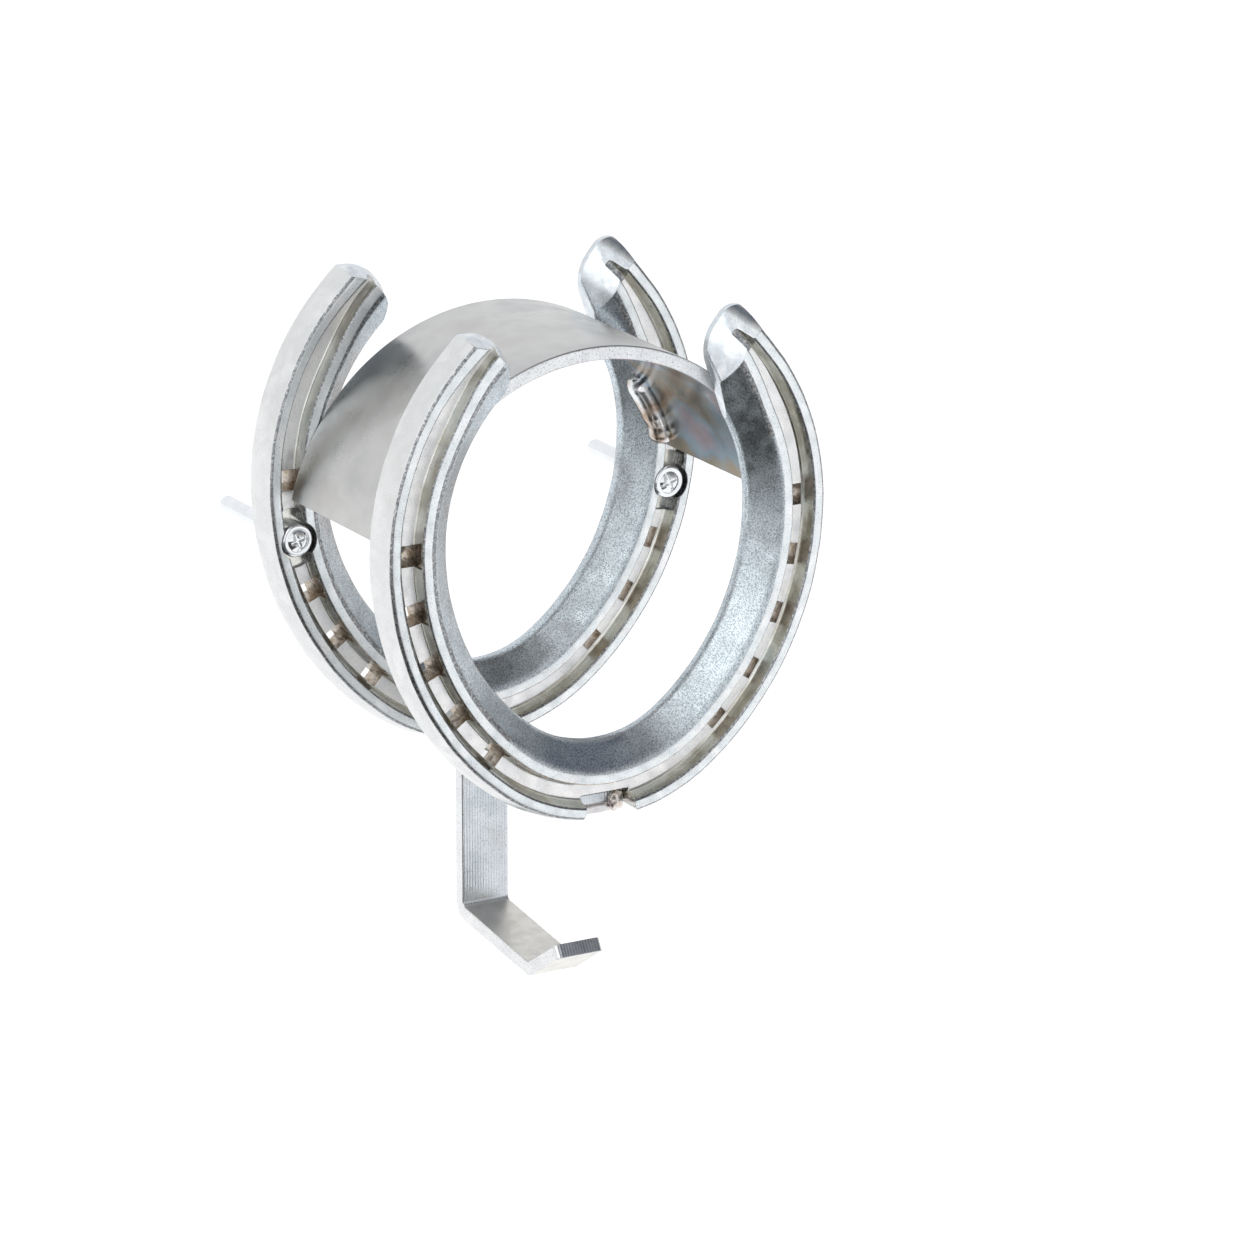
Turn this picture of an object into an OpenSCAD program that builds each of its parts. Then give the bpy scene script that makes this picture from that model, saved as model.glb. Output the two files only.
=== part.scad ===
// Wall rack for a bridle: two fullered concave horseshoes, heels up, joined by an arched cradle
// plate, with a bent strip below them that makes the rein hook.
// The wall is the plane Y = 0 and the front faces -Y. The origin is midway between the wall screws.

/* [Shoe bar] */
// Thickness of the bar, from its hoof face to its ground face
bar_t = 10; // [8:0.5:14]
// Width of the bar on its hoof face
bar_w = 22.4; // [20:0.1:28]
// Width of the outer rim on the ground face
outer_rim_w = 3.1; // [2:0.1:4]
// Width of the inner rim on the ground face
inner_rim_w = 3.5; // [2:0.1:4.5]
// Width of the fuller groove at its mouth
groove_w = 6.9; // [5:0.1:8]
// Depth of the fuller groove
groove_t = 4; // [3:0.1:6]
// Draw-in of the outer side towards the ground face
outer_taper_w = 1.5; // [1:0.1:2.5]
// Depth over which the outer side draws in
outer_taper_t = 5.3; // [3:0.1:6.5]
// Depth of the upright land at the inner edge of the hoof face
inner_land_t = 3; // [1:0.1:4]

/* [Shoe outline] */
// Radius of the outer edge round the toe
toe_r = 56; // [50:0.5:64]
// Radius of the outer edge along the quarters
quarter_r = 91; // [84:0.5:110]
// Height of the rear shoe over the front one
rear_rise = 4.2; // [3:0.1:6]

/* [Heels] */
// Thickness left at the end of the bevelled heels
heel_land_t = 2; // [1:0.1:4]
// Radius of the outer edge towards the right heel
right_heel_r = 74.5; // [71:0.5:82]
// Angle of the right branch's heel arc, up to the end of its heel
right_heel_angle = 51; // [47:0.5:53]
// Length of the bevel on the right heel
right_bevel_length = 8.5; // [6:0.5:11]
// Radius of the right heel's inner corner
right_heel_in_r = 12; // [8:0.5:14]
// Radius of the right heel's outer corner
right_heel_out_r = 6; // [3:0.5:8]
// Narrowing of the right heel at its inner edge
right_heel_draw_w = 3; // [0:0.1:4]
// Radius of the outer edge towards the left heel
left_heel_r = 78; // [72:0.5:84]
// Angle of the left branch's heel arc, up to the end of its heel
left_heel_angle = 54.5; // [49:0.5:56.5]
// Length of the bevel on the left heel
left_bevel_length = 3; // [2:0.1:6]
// Radius of the left heel's inner corner
left_heel_in_r = 9.5; // [4:0.5:10]
// Radius of the left heel's outer corner
left_heel_out_r = 11; // [6:0.5:12]
// Narrowing of the left heel at its inner edge
left_heel_draw_w = 0; // [0:0.1:2]

/* [Nail holes] */
// Number of nail holes in each branch
nail_count = 5; // [3:1:5]
// Spacing of the nail holes along the groove
nail_pitch = 17; // [14:0.1:17.5]
// Distance of the last nail hole past the widest line, towards the heel
nail_lead = 1; // [0:0.1:4]
// Length of a nail hole in the groove floor
nail_length = 7; // [5:0.1:9]
// Width of a nail hole in the groove floor
nail_w = 4; // [2.5:0.1:4.3]
// Length of a nail hole at the hoof face
nail_exit_length = 4.4; // [3:0.1:6]
// Width of a nail hole at the hoof face
nail_exit_w = 2.8; // [2:0.1:4]

/* [Cradle plate] */
// Width of the plate, from shoe to shoe
plate_w = 60; // [45:1:95]
// Thickness of the plate
plate_t = 4; // [3:0.1:6]
// Distance of the arch's outer radius inside the widest half of the shoes
plate_inset = 5.8; // [4.5:0.1:9]
// Half of the angle that the arch spans
plate_half_angle = 76.5; // [76:0.5:84]
// Height of the arch's centre below the widest line of the front shoe
plate_drop = 13.6; // [11:0.1:16]

/* [Rein hook] */
// Width of the strip
strip_w = 15; // [12:0.5:20]
// Thickness of the strip
strip_t = 4; // [3:0.1:5]
// Inside radius of the strip's bends
bend_r = 1.5; // [1:0.1:4]
// Length of the strip that lies in the front shoe's notch
strip_inset = 2; // [1:0.1:3]
// Distance of the upright's back from the wall
hook_setback = 3.4; // [1:0.1:4]
// Drop from the top of the strip to the shelf at the upright
hook_drop = 51.4; // [40:0.1:90]
// Length of the shelf between its bends
shelf_length = 38; // [28:0.5:55]
// Fall of the shelf towards the front, in degrees
shelf_dip = 8; // [0:0.5:12]
// Length of the lip
lip_length = 18.5; // [12:0.5:28]
// Rise of the lip, in degrees
lip_angle = 32; // [20:1:70]
// Radius of the lip's corners
lip_corner_r = 2; // [1:0.1:4]

/* [Welds] */
// Leg of the beads under the cradle plate
plate_weld_r = 3.4; // [2.5:0.1:4.5]
// Start of a plate bead, in degrees from the top of the arch
plate_weld_from = 53; // [48:1:60]
// End of a plate bead, in degrees from the top of the arch
plate_weld_to = 75; // [66:1:76]
// Leg of the beads on the strip
strip_weld_r = 2.2; // [1.6:0.1:2.6]

/* [Wall screws] */
// Diameter of the shank in the wall
screw_d = 5; // [4:0.1:6]
// Diameter of the neck in the shoe
screw_neck_d = 4.4; // [3.4:0.1:5.4]
// Length of the shank behind the wall's face
screw_reach = 35; // [20:1:60]
// Diameter of the domed head
screw_head_d = 9.8; // [8:0.1:10.8]
// Height of the domed head
screw_head_t = 3.2; // [2:0.1:4.5]
// Clearance of the shank in its hole, on the radius
screw_clear = 0.25; // [0.1:0.05:0.5]
// Diameter of the counterbore that takes the head
seat_d = 11.2; // [11:0.1:12.6]
// Depth of the counterbore below the ground face
seat_t = 5; // [4.4:0.1:6]
// Length of the round-ended pocket that opens the groove at the screw
pocket_length = 17.6; // [14:0.1:19]
// Width of the pocket
pocket_w = 6.2; // [5:0.1:6.8]
// Nail hole that the screw takes, counted from the heel, the last one being 0
screw_hole = 1; // [1:1:2]

/* [Hidden] */

// One overrun serves all cuts and overlaps
cut_over = 1;
// Clearance of the strip at each side of its notches
notch_clear = 0.2;
// Runs of the groove's outer and inner walls, as shares of the groove's width
outer_run_share = 0.225;
inner_run_share = 0.11;
// Sine of half the angle that the toe arc spans, the sides being 3, 4 and 5
toe_sine_share = 0.6;
toe_cosine_share = 0.8;
// Width of the full bar behind a heel's bevel, against the bar's own
heel_flare_share = 1.5;
// How far the wedges that bound the arcs reach, against the arcs' radius
reach_share = 2;
// Depth of the flat seat in the front notch and slope of its roof in front of that
notch_seat_t = 3;
notch_slope = 22;
// Swells along a strip's bead: how far each stands over the bead, and how many there are
swell_share = 1.12;
strip_swells = 3;
// Rim of a screw head, and its cross recess, as shares of the head
head_rim_share = 0.3;
recess_length_share = 0.5;
recess_w_share = 0.13;
recess_t_share = 0.5;
bend_steps = 10;
arc_fn = 128;
round_fn = 48;
bead_fn = 32;

steel = "gainsboro";
dark_steel = "silver";
bead_steel = "darkgray";

// Distances inwards from the outer edge of the hoof face
groove_out_u = outer_taper_w + outer_rim_w;
groove_in_u = groove_out_u + groove_w;
floor_out_u = groove_out_u + outer_run_share * groove_w;
floor_in_u = groove_in_u - inner_run_share * groove_w;
floor_mid_u = (floor_out_u + floor_in_u) / 2;
bevel_u = groove_in_u + inner_rim_w;
floor_z = bar_t - groove_t;

// Centres of the three arcs that make the outline, with y = 0 on the widest line
quarter_x = (toe_r - quarter_r) * toe_sine_share;
toe_y = (toe_r - quarter_r) * toe_cosine_share;
toe_edge_y = toe_y - toe_r;
joint_angle = -atan(toe_cosine_share / toe_sine_share);
quarter_len = -(quarter_r - floor_mid_u) * joint_angle * PI / 180;

// Centre of a heel arc of a given radius
function heel_x(r) = quarter_x + quarter_r - r;
// A place on the middle of the groove floor, s being its distance past the widest line
function arc_place(center, r, s, start = 0) =
    let (a = start + s / r * 180 / PI)
    [center.x + r * cos(a), center.y + r * sin(a), a];
function groove_place(s) =
    s >= 0 ? arc_place([heel_x(right_heel_r), 0], right_heel_r - floor_mid_u, s)
    : s >= -quarter_len ? arc_place([quarter_x, 0], quarter_r - floor_mid_u, s)
    : arc_place([0, toe_y], toe_r - floor_mid_u, s + quarter_len, joint_angle);
function nail_place(i) = groove_place(nail_lead - i * nail_pitch);
screw_at = nail_place(screw_hole);

// Planes in front of the wall
rear_face_z = bar_t;
front_back_z = bar_t + plate_w;
plate_r = quarter_x + quarter_r - plate_inset;
plate_in_r = plate_r - plate_t;

// The strip lies against the roof of the notches, which clears the groove's outer wall
roof_y = toe_edge_y + floor_out_u + pow(strip_w, 2) / (8 * (toe_r - floor_out_u));
strip_top_y = roof_y - rear_rise;
plate_y = -rear_rise - plate_drop;
notch_w = strip_w + 2 * notch_clear;
strip_front_z = front_back_z + strip_inset;
drop_turn = 90;
shelf_turn = 90 - shelf_dip;
lip_turn = shelf_dip + lip_angle;
bend_out_r = bend_r + strip_t;
tongue_run = strip_front_z - hook_setback - bend_out_r;
upright_run = hook_drop - bend_out_r - bend_r * tan(shelf_turn / 2);
shelf_run = shelf_length - bend_r * (tan(shelf_turn / 2) + tan(lip_turn / 2));
lip_run = lip_length - bend_r * tan(lip_turn / 2);
strip_runs = [tongue_run, upright_run, shelf_run, lip_run];
strip_heads = [0, -drop_turn, -drop_turn - shelf_turn, -drop_turn - shelf_turn - lip_turn];
lip_index = len(strip_runs) - 1;
strip_bends = [0 : lip_index - 1];

// The strip's profile, drawn from its front end: headings, and the inner side that the bends turn about
function along(a) = [cos(a), sin(a)];
function aside(a) = [-sin(a), cos(a)];
function run_start(i) = i == 0 ? [0, 0] : bend_center(i - 1) + bend_r * aside(strip_heads[i]);
function run_end(i) = run_start(i) + strip_runs[i] * along(strip_heads[i]);
function bend_center(i) = run_end(i) - bend_r * aside(strip_heads[i]);
function strip_edge(offset) = concat(
    [offset * aside(strip_heads[0])],
    [for (i = strip_bends, k = [0 : bend_steps])
        let (a = strip_heads[i] + (strip_heads[i + 1] - strip_heads[i]) * k / bend_steps)
        bend_center(i) + (bend_r + offset) * aside(a)],
    [run_end(lip_index) + offset * aside(strip_heads[lip_index])]);

// Turns the drawing frame, x right, y up and z out of the wall, into the part's own
module on_wall() {
    rotate([90, 0, 0])
        translate([0, -screw_at.y, 0])
            children();
}

module both_sides() {
    children();
    mirror([1, 0, 0])
        children();
}

// Section of the bar: the hoof face at z = 0, the grooved ground face at z = bar_t
module bar_section(r) {
    polygon([
        [r, 0],
        [r, bar_t - outer_taper_t],
        [r - outer_taper_w, bar_t],
        [r - groove_out_u, bar_t],
        [r - floor_out_u, floor_z],
        [r - floor_in_u, floor_z],
        [r - groove_in_u, bar_t],
        [r - bevel_u, bar_t],
        [r - bar_w, inner_land_t],
        [r - bar_w, 0]]);
}

module bar_ring(center, r) {
    translate(center)
        rotate(180)
            rotate_extrude($fn = arc_fn)
                bar_section(r);
}

// The arc of a ring between two directions from its centre
module bar_arc(center, r, from, to) {
    reach = r * reach_share;
    intersection() {
        bar_ring(center, r);
        translate([center.x, center.y, -cut_over])
            linear_extrude(bar_t + 2 * cut_over)
                polygon([[0, 0], reach * from, reach * to]);
    }
}

// The rounded end of a heel, some way back from its tip
module heel_end(in_r, out_r, draw_w, back, thickness) {
    translate([0, -back, -2 * cut_over])
        linear_extrude(thickness + 2 * cut_over) {
            translate([in_r - bar_w / 2 + draw_w, -in_r])
                circle(in_r, $fn = round_fn);
            translate([bar_w / 2 - out_r, -out_r])
                circle(out_r, $fn = round_fn);
        }
}

// What is taken off a heel: all that lies beyond its rounded and bevelled end
module heel_cut(r, angle, bevel_length, in_r, out_r, draw_w) {
    flare = bar_w * heel_flare_share;
    tall = bar_t + 2 * cut_over;
    run = bevel_length * (tall - heel_land_t) / (bar_t - heel_land_t);
    back = max(in_r, out_r) + run;
    translate([heel_x(r), 0])
        rotate(angle)
            translate([r - bar_w / 2, 0])
                difference() {
                    translate([-flare, -back, -cut_over])
                        cube([2 * flare, 2 * flare, tall]);
                    hull() {
                        heel_end(in_r, out_r, draw_w, 0, heel_land_t);
                        heel_end(in_r, out_r, draw_w, run, tall);
                        translate([-flare / 2, -back - 2 * cut_over, -2 * cut_over])
                            cube([flare, 2 * cut_over, tall + 2 * cut_over]);
                    }
                }
}

module branch(r, angle, bevel_length, in_r, out_r, draw_w) {
    end_angle = angle + bevel_length / (r - bar_w / 2) * 180 / PI;
    bar_arc([quarter_x, 0], quarter_r, [toe_sine_share, -toe_cosine_share], [1, 0]);
    difference() {
        bar_arc([heel_x(r), 0], r, [1, 0], [cos(end_angle), sin(end_angle)]);
        heel_cut(r, angle, bevel_length, in_r, out_r, draw_w);
    }
}

module right_branch() {
    branch(
        right_heel_r, right_heel_angle, right_bevel_length,
        right_heel_in_r, right_heel_out_r, right_heel_draw_w);
}

module left_branch() {
    mirror([1, 0, 0])
        branch(
            left_heel_r, left_heel_angle, left_bevel_length,
            left_heel_in_r, left_heel_out_r, left_heel_draw_w);
}

module shoe_blank() {
    bar_arc([0, toe_y], toe_r, [toe_sine_share, -toe_cosine_share], [-toe_sine_share, -toe_cosine_share]);
    right_branch();
    left_branch();
}

// A tapered hole: its mouth in the groove floor, its exit in the hoof face
module nail_cut() {
    l = [nail_exit_length, nail_length] / 2;
    w = [nail_exit_w, nail_w] / 2;
    z = [-cut_over, floor_z + cut_over];
    polyhedron(
        [for (k = [0, 1], c = [[-1, -1], [1, -1], [1, 1], [-1, 1]]) [c.x * w[k], c.y * l[k], z[k]]],
        [[0, 1, 2, 3], [7, 6, 5, 4], [0, 4, 5, 1], [1, 5, 6, 2], [2, 6, 7, 3], [3, 7, 4, 0]]);
}

module at_nail(i) {
    place = nail_place(i);
    translate([place.x, place.y])
        rotate(place[2])
            children();
}

module nail_cuts(skip) {
    both_sides()
        for (i = [0 : nail_count - 1])
            if (i != skip) at_nail(i) nail_cut();
}

// The notch that seats the strip at the toe, its roof sloped in front of the seat where relieved
module toe_notch(relieved) {
    rise = relieved ? (bar_t - notch_seat_t) * tan(notch_slope) : 0;
    translate([-notch_w / 2, 0])
        rotate([0, 90, 0])
            linear_extrude(notch_w)
                polygon([
                    [cut_over, toe_edge_y - cut_over],
                    [cut_over, roof_y],
                    [-notch_seat_t, roof_y],
                    [-bar_t, roof_y + rise],
                    [-bar_t - cut_over, roof_y + rise],
                    [-bar_t - cut_over, toe_edge_y - cut_over]]);
}

module screw_cuts() {
    both_sides()
        at_nail(screw_hole) {
            translate([0, 0, -cut_over])
                cylinder(h = bar_t, d = screw_d + 2 * screw_clear, $fn = round_fn);
            translate([0, 0, bar_t - seat_t])
                cylinder(h = seat_t + cut_over, d = seat_d, $fn = round_fn);
            translate([0, 0, bar_t - seat_t])
                intersection() {
                    cylinder(h = seat_t + cut_over, d = pocket_length, $fn = round_fn);
                    translate([-pocket_w / 2, -pocket_length, -cut_over])
                        cube([pocket_w, 2 * pocket_length, seat_t + 3 * cut_over]);
                }
        }
}

module front_shoe() {
    color(steel)
        on_wall()
            translate([0, -rear_rise, front_back_z])
                difference() {
                    shoe_blank();
                    nail_cuts(nail_count);
                    toe_notch(true);
                }
}

module rear_shoe() {
    color(steel)
        on_wall()
            difference() {
                shoe_blank();
                nail_cuts(screw_hole);
                toe_notch(false);
                screw_cuts();
            }
}

module cradle_plate() {
    color(dark_steel)
        on_wall()
            translate([0, plate_y, rear_face_z])
                rotate(90 - plate_half_angle)
                    rotate_extrude(angle = 2 * plate_half_angle, $fn = arc_fn)
                        translate([plate_in_r, 0])
                            square([plate_t, plate_w]);
}

// What rounds a corner of the lip, at the end of its last run
module lip_corner_cut() {
    translate(run_end(lip_index))
        rotate(strip_heads[lip_index])
            rotate([-90, 0, 0])
                translate([0, 0, -cut_over])
                    linear_extrude(strip_t + 2 * cut_over)
                        polygon(concat(
                            [[cut_over, cut_over], [-lip_corner_r, cut_over]],
                            [for (k = [0 : bend_steps])
                                let (a = 90 * k / bend_steps)
                                lip_corner_r * [sin(a) - 1, cos(a) - 1]],
                            [[cut_over, -lip_corner_r]]));
}

module strip() {
    inner = strip_edge(0);
    outer = strip_edge(strip_t);
    translate([0, strip_top_y - strip_t, strip_front_z])
        rotate([0, 90, 0])
            difference() {
                translate([0, 0, -strip_w / 2])
                    linear_extrude(strip_w)
                        polygon(concat(inner, [for (k = [len(outer) - 1 : -1 : 0]) outer[k]]));
                for (flip = [0, 1])
                    mirror([0, 0, flip])
                        translate([0, 0, -strip_w / 2])
                            lip_corner_cut();
            }
}

module rein_hook() {
    color(dark_steel)
        on_wall()
            strip();
}

// A bead along the inside of the arch: a round fillet on one side of a face, its root on the other
module plate_bead(side_z, root) {
    span = plate_weld_to - plate_weld_from;
    rotate(90 - plate_weld_to)
        rotate_extrude(angle = span, $fn = arc_fn)
            polygon(concat(
                [[plate_in_r, -side_z * root], [plate_in_r - plate_weld_r, -side_z * root]],
                [for (k = [0 : bend_steps])
                    let (a = 90 * k / bend_steps)
                    [plate_in_r, 0] + plate_weld_r * [-cos(a), side_z * sin(a)]]));
}

module front_bead() {
    translate([0, plate_y, front_back_z])
        plate_bead(-1, 0);
}

// The rear bead's root fills what the grooved face leaves open under it
module rear_bead() {
    translate([0, plate_y, rear_face_z])
        plate_bead(1, plate_weld_r);
}

module front_left_weld() {
    color(bead_steel)
        on_wall()
            mirror([1, 0, 0])
                front_bead();
}

module front_right_weld() {
    color(bead_steel)
        on_wall()
            front_bead();
}

module rear_left_weld() {
    color(bead_steel)
        on_wall()
            difference() {
                mirror([1, 0, 0])
                    rear_bead();
                left_branch();
            }
}

module rear_right_weld() {
    color(bead_steel)
        on_wall()
            difference() {
                rear_bead();
                right_branch();
            }
}

// A bead across a notch, from wall to wall, with swells along it
module notch_bead(y, z, r) {
    half = notch_w / 2;
    intersection() {
        union() {
            translate([-half, y, z])
                rotate([0, 90, 0])
                    cylinder(h = notch_w, r = r, $fn = bead_fn);
            for (k = [1 : 2 : 2 * strip_swells])
                translate([half * (k / strip_swells - 1), y, z])
                    sphere(r * swell_share, $fn = bead_fn);
        }
        translate([-half, y - 2 * r, z - 2 * r])
            cube([notch_w, 4 * r, 4 * r]);
    }
}

// Under the strip's front end
module front_hook_weld() {
    under_y = strip_top_y - strip_t;
    depth = 2 * strip_weld_r;
    color(bead_steel)
        on_wall()
            intersection() {
                notch_bead(under_y, front_back_z + strip_inset / 2, strip_weld_r);
                translate([-notch_w / 2, under_y - depth, front_back_z - depth])
                    cube([notch_w, depth, 2 * depth]);
            }
}

// Between the strip's bend and the roof of the rear shoe's notch
module rear_hook_weld() {
    r = strip_weld_r + rear_rise / 2;
    color(bead_steel)
        on_wall()
            difference() {
                intersection() {
                    notch_bead(roof_y - rear_rise / 2, bar_t - r, r);
                    translate([-notch_w / 2, toe_edge_y - r, -r])
                        cube([notch_w, roof_y - toe_edge_y + r, bar_t + 2 * r]);
                }
                strip();
            }
}

// A domed head with a cross recess, seated in the counterbore, a neck, and a plain shank into the wall
module wall_screw() {
    seat_z = bar_t - seat_t;
    rim_t = screw_head_t * head_rim_share;
    dome_t = screw_head_t - rim_t;
    dome_r = (pow(screw_head_d / 2, 2) + pow(dome_t, 2)) / (2 * dome_t);
    recess = [screw_head_d * recess_length_share, screw_head_d * recess_w_share, screw_head_t];
    translate([screw_at.x, screw_at.y]) {
        translate([0, 0, -screw_reach])
            cylinder(h = screw_reach, d = screw_d, $fn = round_fn);
        translate([0, 0, -cut_over])
            cylinder(h = seat_z + cut_over, d = screw_neck_d, $fn = round_fn);
        translate([0, 0, seat_z])
            difference() {
                intersection() {
                    cylinder(h = screw_head_t, d = screw_head_d, $fn = round_fn);
                    translate([0, 0, screw_head_t - dome_r])
                        sphere(dome_r, $fn = arc_fn);
                }
                for (turn = [0, 90])
                    rotate(turn)
                        translate([-recess.x / 2, -recess.y / 2, screw_head_t * (1 - recess_t_share)])
                            cube(recess);
            }
    }
}

module left_screw() {
    color(dark_steel)
        on_wall()
            mirror([1, 0, 0])
                wall_screw();
}

module right_screw() {
    color(dark_steel)
        on_wall()
            wall_screw();
}

front_shoe();
rear_shoe();
cradle_plate();
rein_hook();
front_left_weld();
front_right_weld();
rear_left_weld();
rear_right_weld();
front_hook_weld();
rear_hook_weld();
left_screw();
right_screw();
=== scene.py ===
"""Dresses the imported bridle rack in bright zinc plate.

The shoes, the arched plate, the bent strip, the weld beads and the screws are rebuilt with rounded edges in
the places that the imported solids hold.
"""

from __future__ import annotations

import logging
import math
from dataclasses import dataclass
from enum import Enum, IntEnum
from typing import Iterable, Sequence

import bmesh
import bpy
from bmesh.types import BMEdge, BMesh, BMFace, BMVert
from mathutils import Matrix, Vector, noise


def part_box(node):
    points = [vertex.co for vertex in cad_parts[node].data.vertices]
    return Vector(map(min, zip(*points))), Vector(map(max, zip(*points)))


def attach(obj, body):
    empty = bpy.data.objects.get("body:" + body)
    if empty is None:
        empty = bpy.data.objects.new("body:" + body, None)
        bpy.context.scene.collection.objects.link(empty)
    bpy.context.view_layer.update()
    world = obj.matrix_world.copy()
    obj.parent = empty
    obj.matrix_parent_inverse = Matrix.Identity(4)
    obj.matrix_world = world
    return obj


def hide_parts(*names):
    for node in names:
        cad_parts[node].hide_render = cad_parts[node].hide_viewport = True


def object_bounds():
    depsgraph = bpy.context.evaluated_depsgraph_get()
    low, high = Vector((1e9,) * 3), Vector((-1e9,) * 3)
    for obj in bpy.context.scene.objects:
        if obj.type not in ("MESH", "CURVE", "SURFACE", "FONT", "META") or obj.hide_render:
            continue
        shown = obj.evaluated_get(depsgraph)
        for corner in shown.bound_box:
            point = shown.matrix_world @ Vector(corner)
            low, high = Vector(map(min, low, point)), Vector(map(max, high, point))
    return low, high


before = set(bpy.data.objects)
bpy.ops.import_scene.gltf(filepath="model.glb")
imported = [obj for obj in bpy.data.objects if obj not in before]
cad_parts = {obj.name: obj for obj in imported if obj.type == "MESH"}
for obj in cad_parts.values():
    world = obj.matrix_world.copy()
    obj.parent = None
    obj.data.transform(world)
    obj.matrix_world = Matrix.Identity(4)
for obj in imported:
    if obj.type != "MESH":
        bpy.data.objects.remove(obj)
CAD_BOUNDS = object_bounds()

LOG = logging.getLogger("bridle_rack")
MM = 0.001
ROOT = "root"
CUT_OVER = 1.0
NOISE_SEED = 1

Color = tuple[float, float, float]
Point2 = tuple[float, float]

WHITE: Color = (1.0, 1.0, 1.0)
# Where the patterns' values lie: the mottle, the specks and their gain, the gloss, and a wave's bands
MOTTLE_SPAN: Point2 = (0.32, 0.68)
SPECK_SPAN: Point2 = (0.24, 0.34)
SPECK_GAIN = 0.2
GLOSS_SPAN: Point2 = (0.35, 0.65)
WAVE_BANDS = 20.0


class Grain(Enum):
    """How the surface under the plating was worked."""

    FROSTED = "frosted"
    RIBBED = "ribbed"
    FLOWED = "flowed"


class Region(IntEnum):
    """Parts of a shoe's surface, in the order of its material slots."""

    SIDE = 0
    RIM = 1
    GROOVE = 2
    FLOOR = 3
    BEVEL = 4
    GRIND = 5
    # Dark brown painted shade on the nail holes' walls and on the groove's inner lip at the toe
    HOLE = 6
    # Dark bands painted along the rounded edges as painted reflection, and painted shade in the right heel's slit
    # and the screw's bore
    EDGE = 7


class Joint(Enum):
    """What becomes of two meshes that meet."""

    CUT = "DIFFERENCE"
    FUSE = "UNION"


class Face(IntEnum):
    """Faces of a piece of flat bar, in the order of its material slots; on the bent strip, flat faces are tinted
    lighter as painted light and upright faces darker as painted shade.
    """

    OUTER = 0
    INNER = 1
    EDGE = 2


def color_ramp(graph: bpy.types.NodeTree, value: bpy.types.NodeSocket,
               stops: Sequence[tuple[float, Color]]) -> bpy.types.NodeSocket:
    """Adds a colour ramp.

    Args:
        graph: The nodes that it joins.
        value: What the ramp reads.
        stops: Places and colours along the ramp.

    Returns:
        The ramp's colour.
    """
    ramp = graph.nodes.new("ShaderNodeValToRGB")
    elements = ramp.color_ramp.elements
    while len(elements) < len(stops):
        elements.new(0.5)
    for element, (at, color) in zip(elements, stops):
        element.position = at
        element.color = (*color, 1.0)
    graph.links.new(value, ramp.inputs["Fac"])
    return ramp.outputs["Color"]


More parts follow.
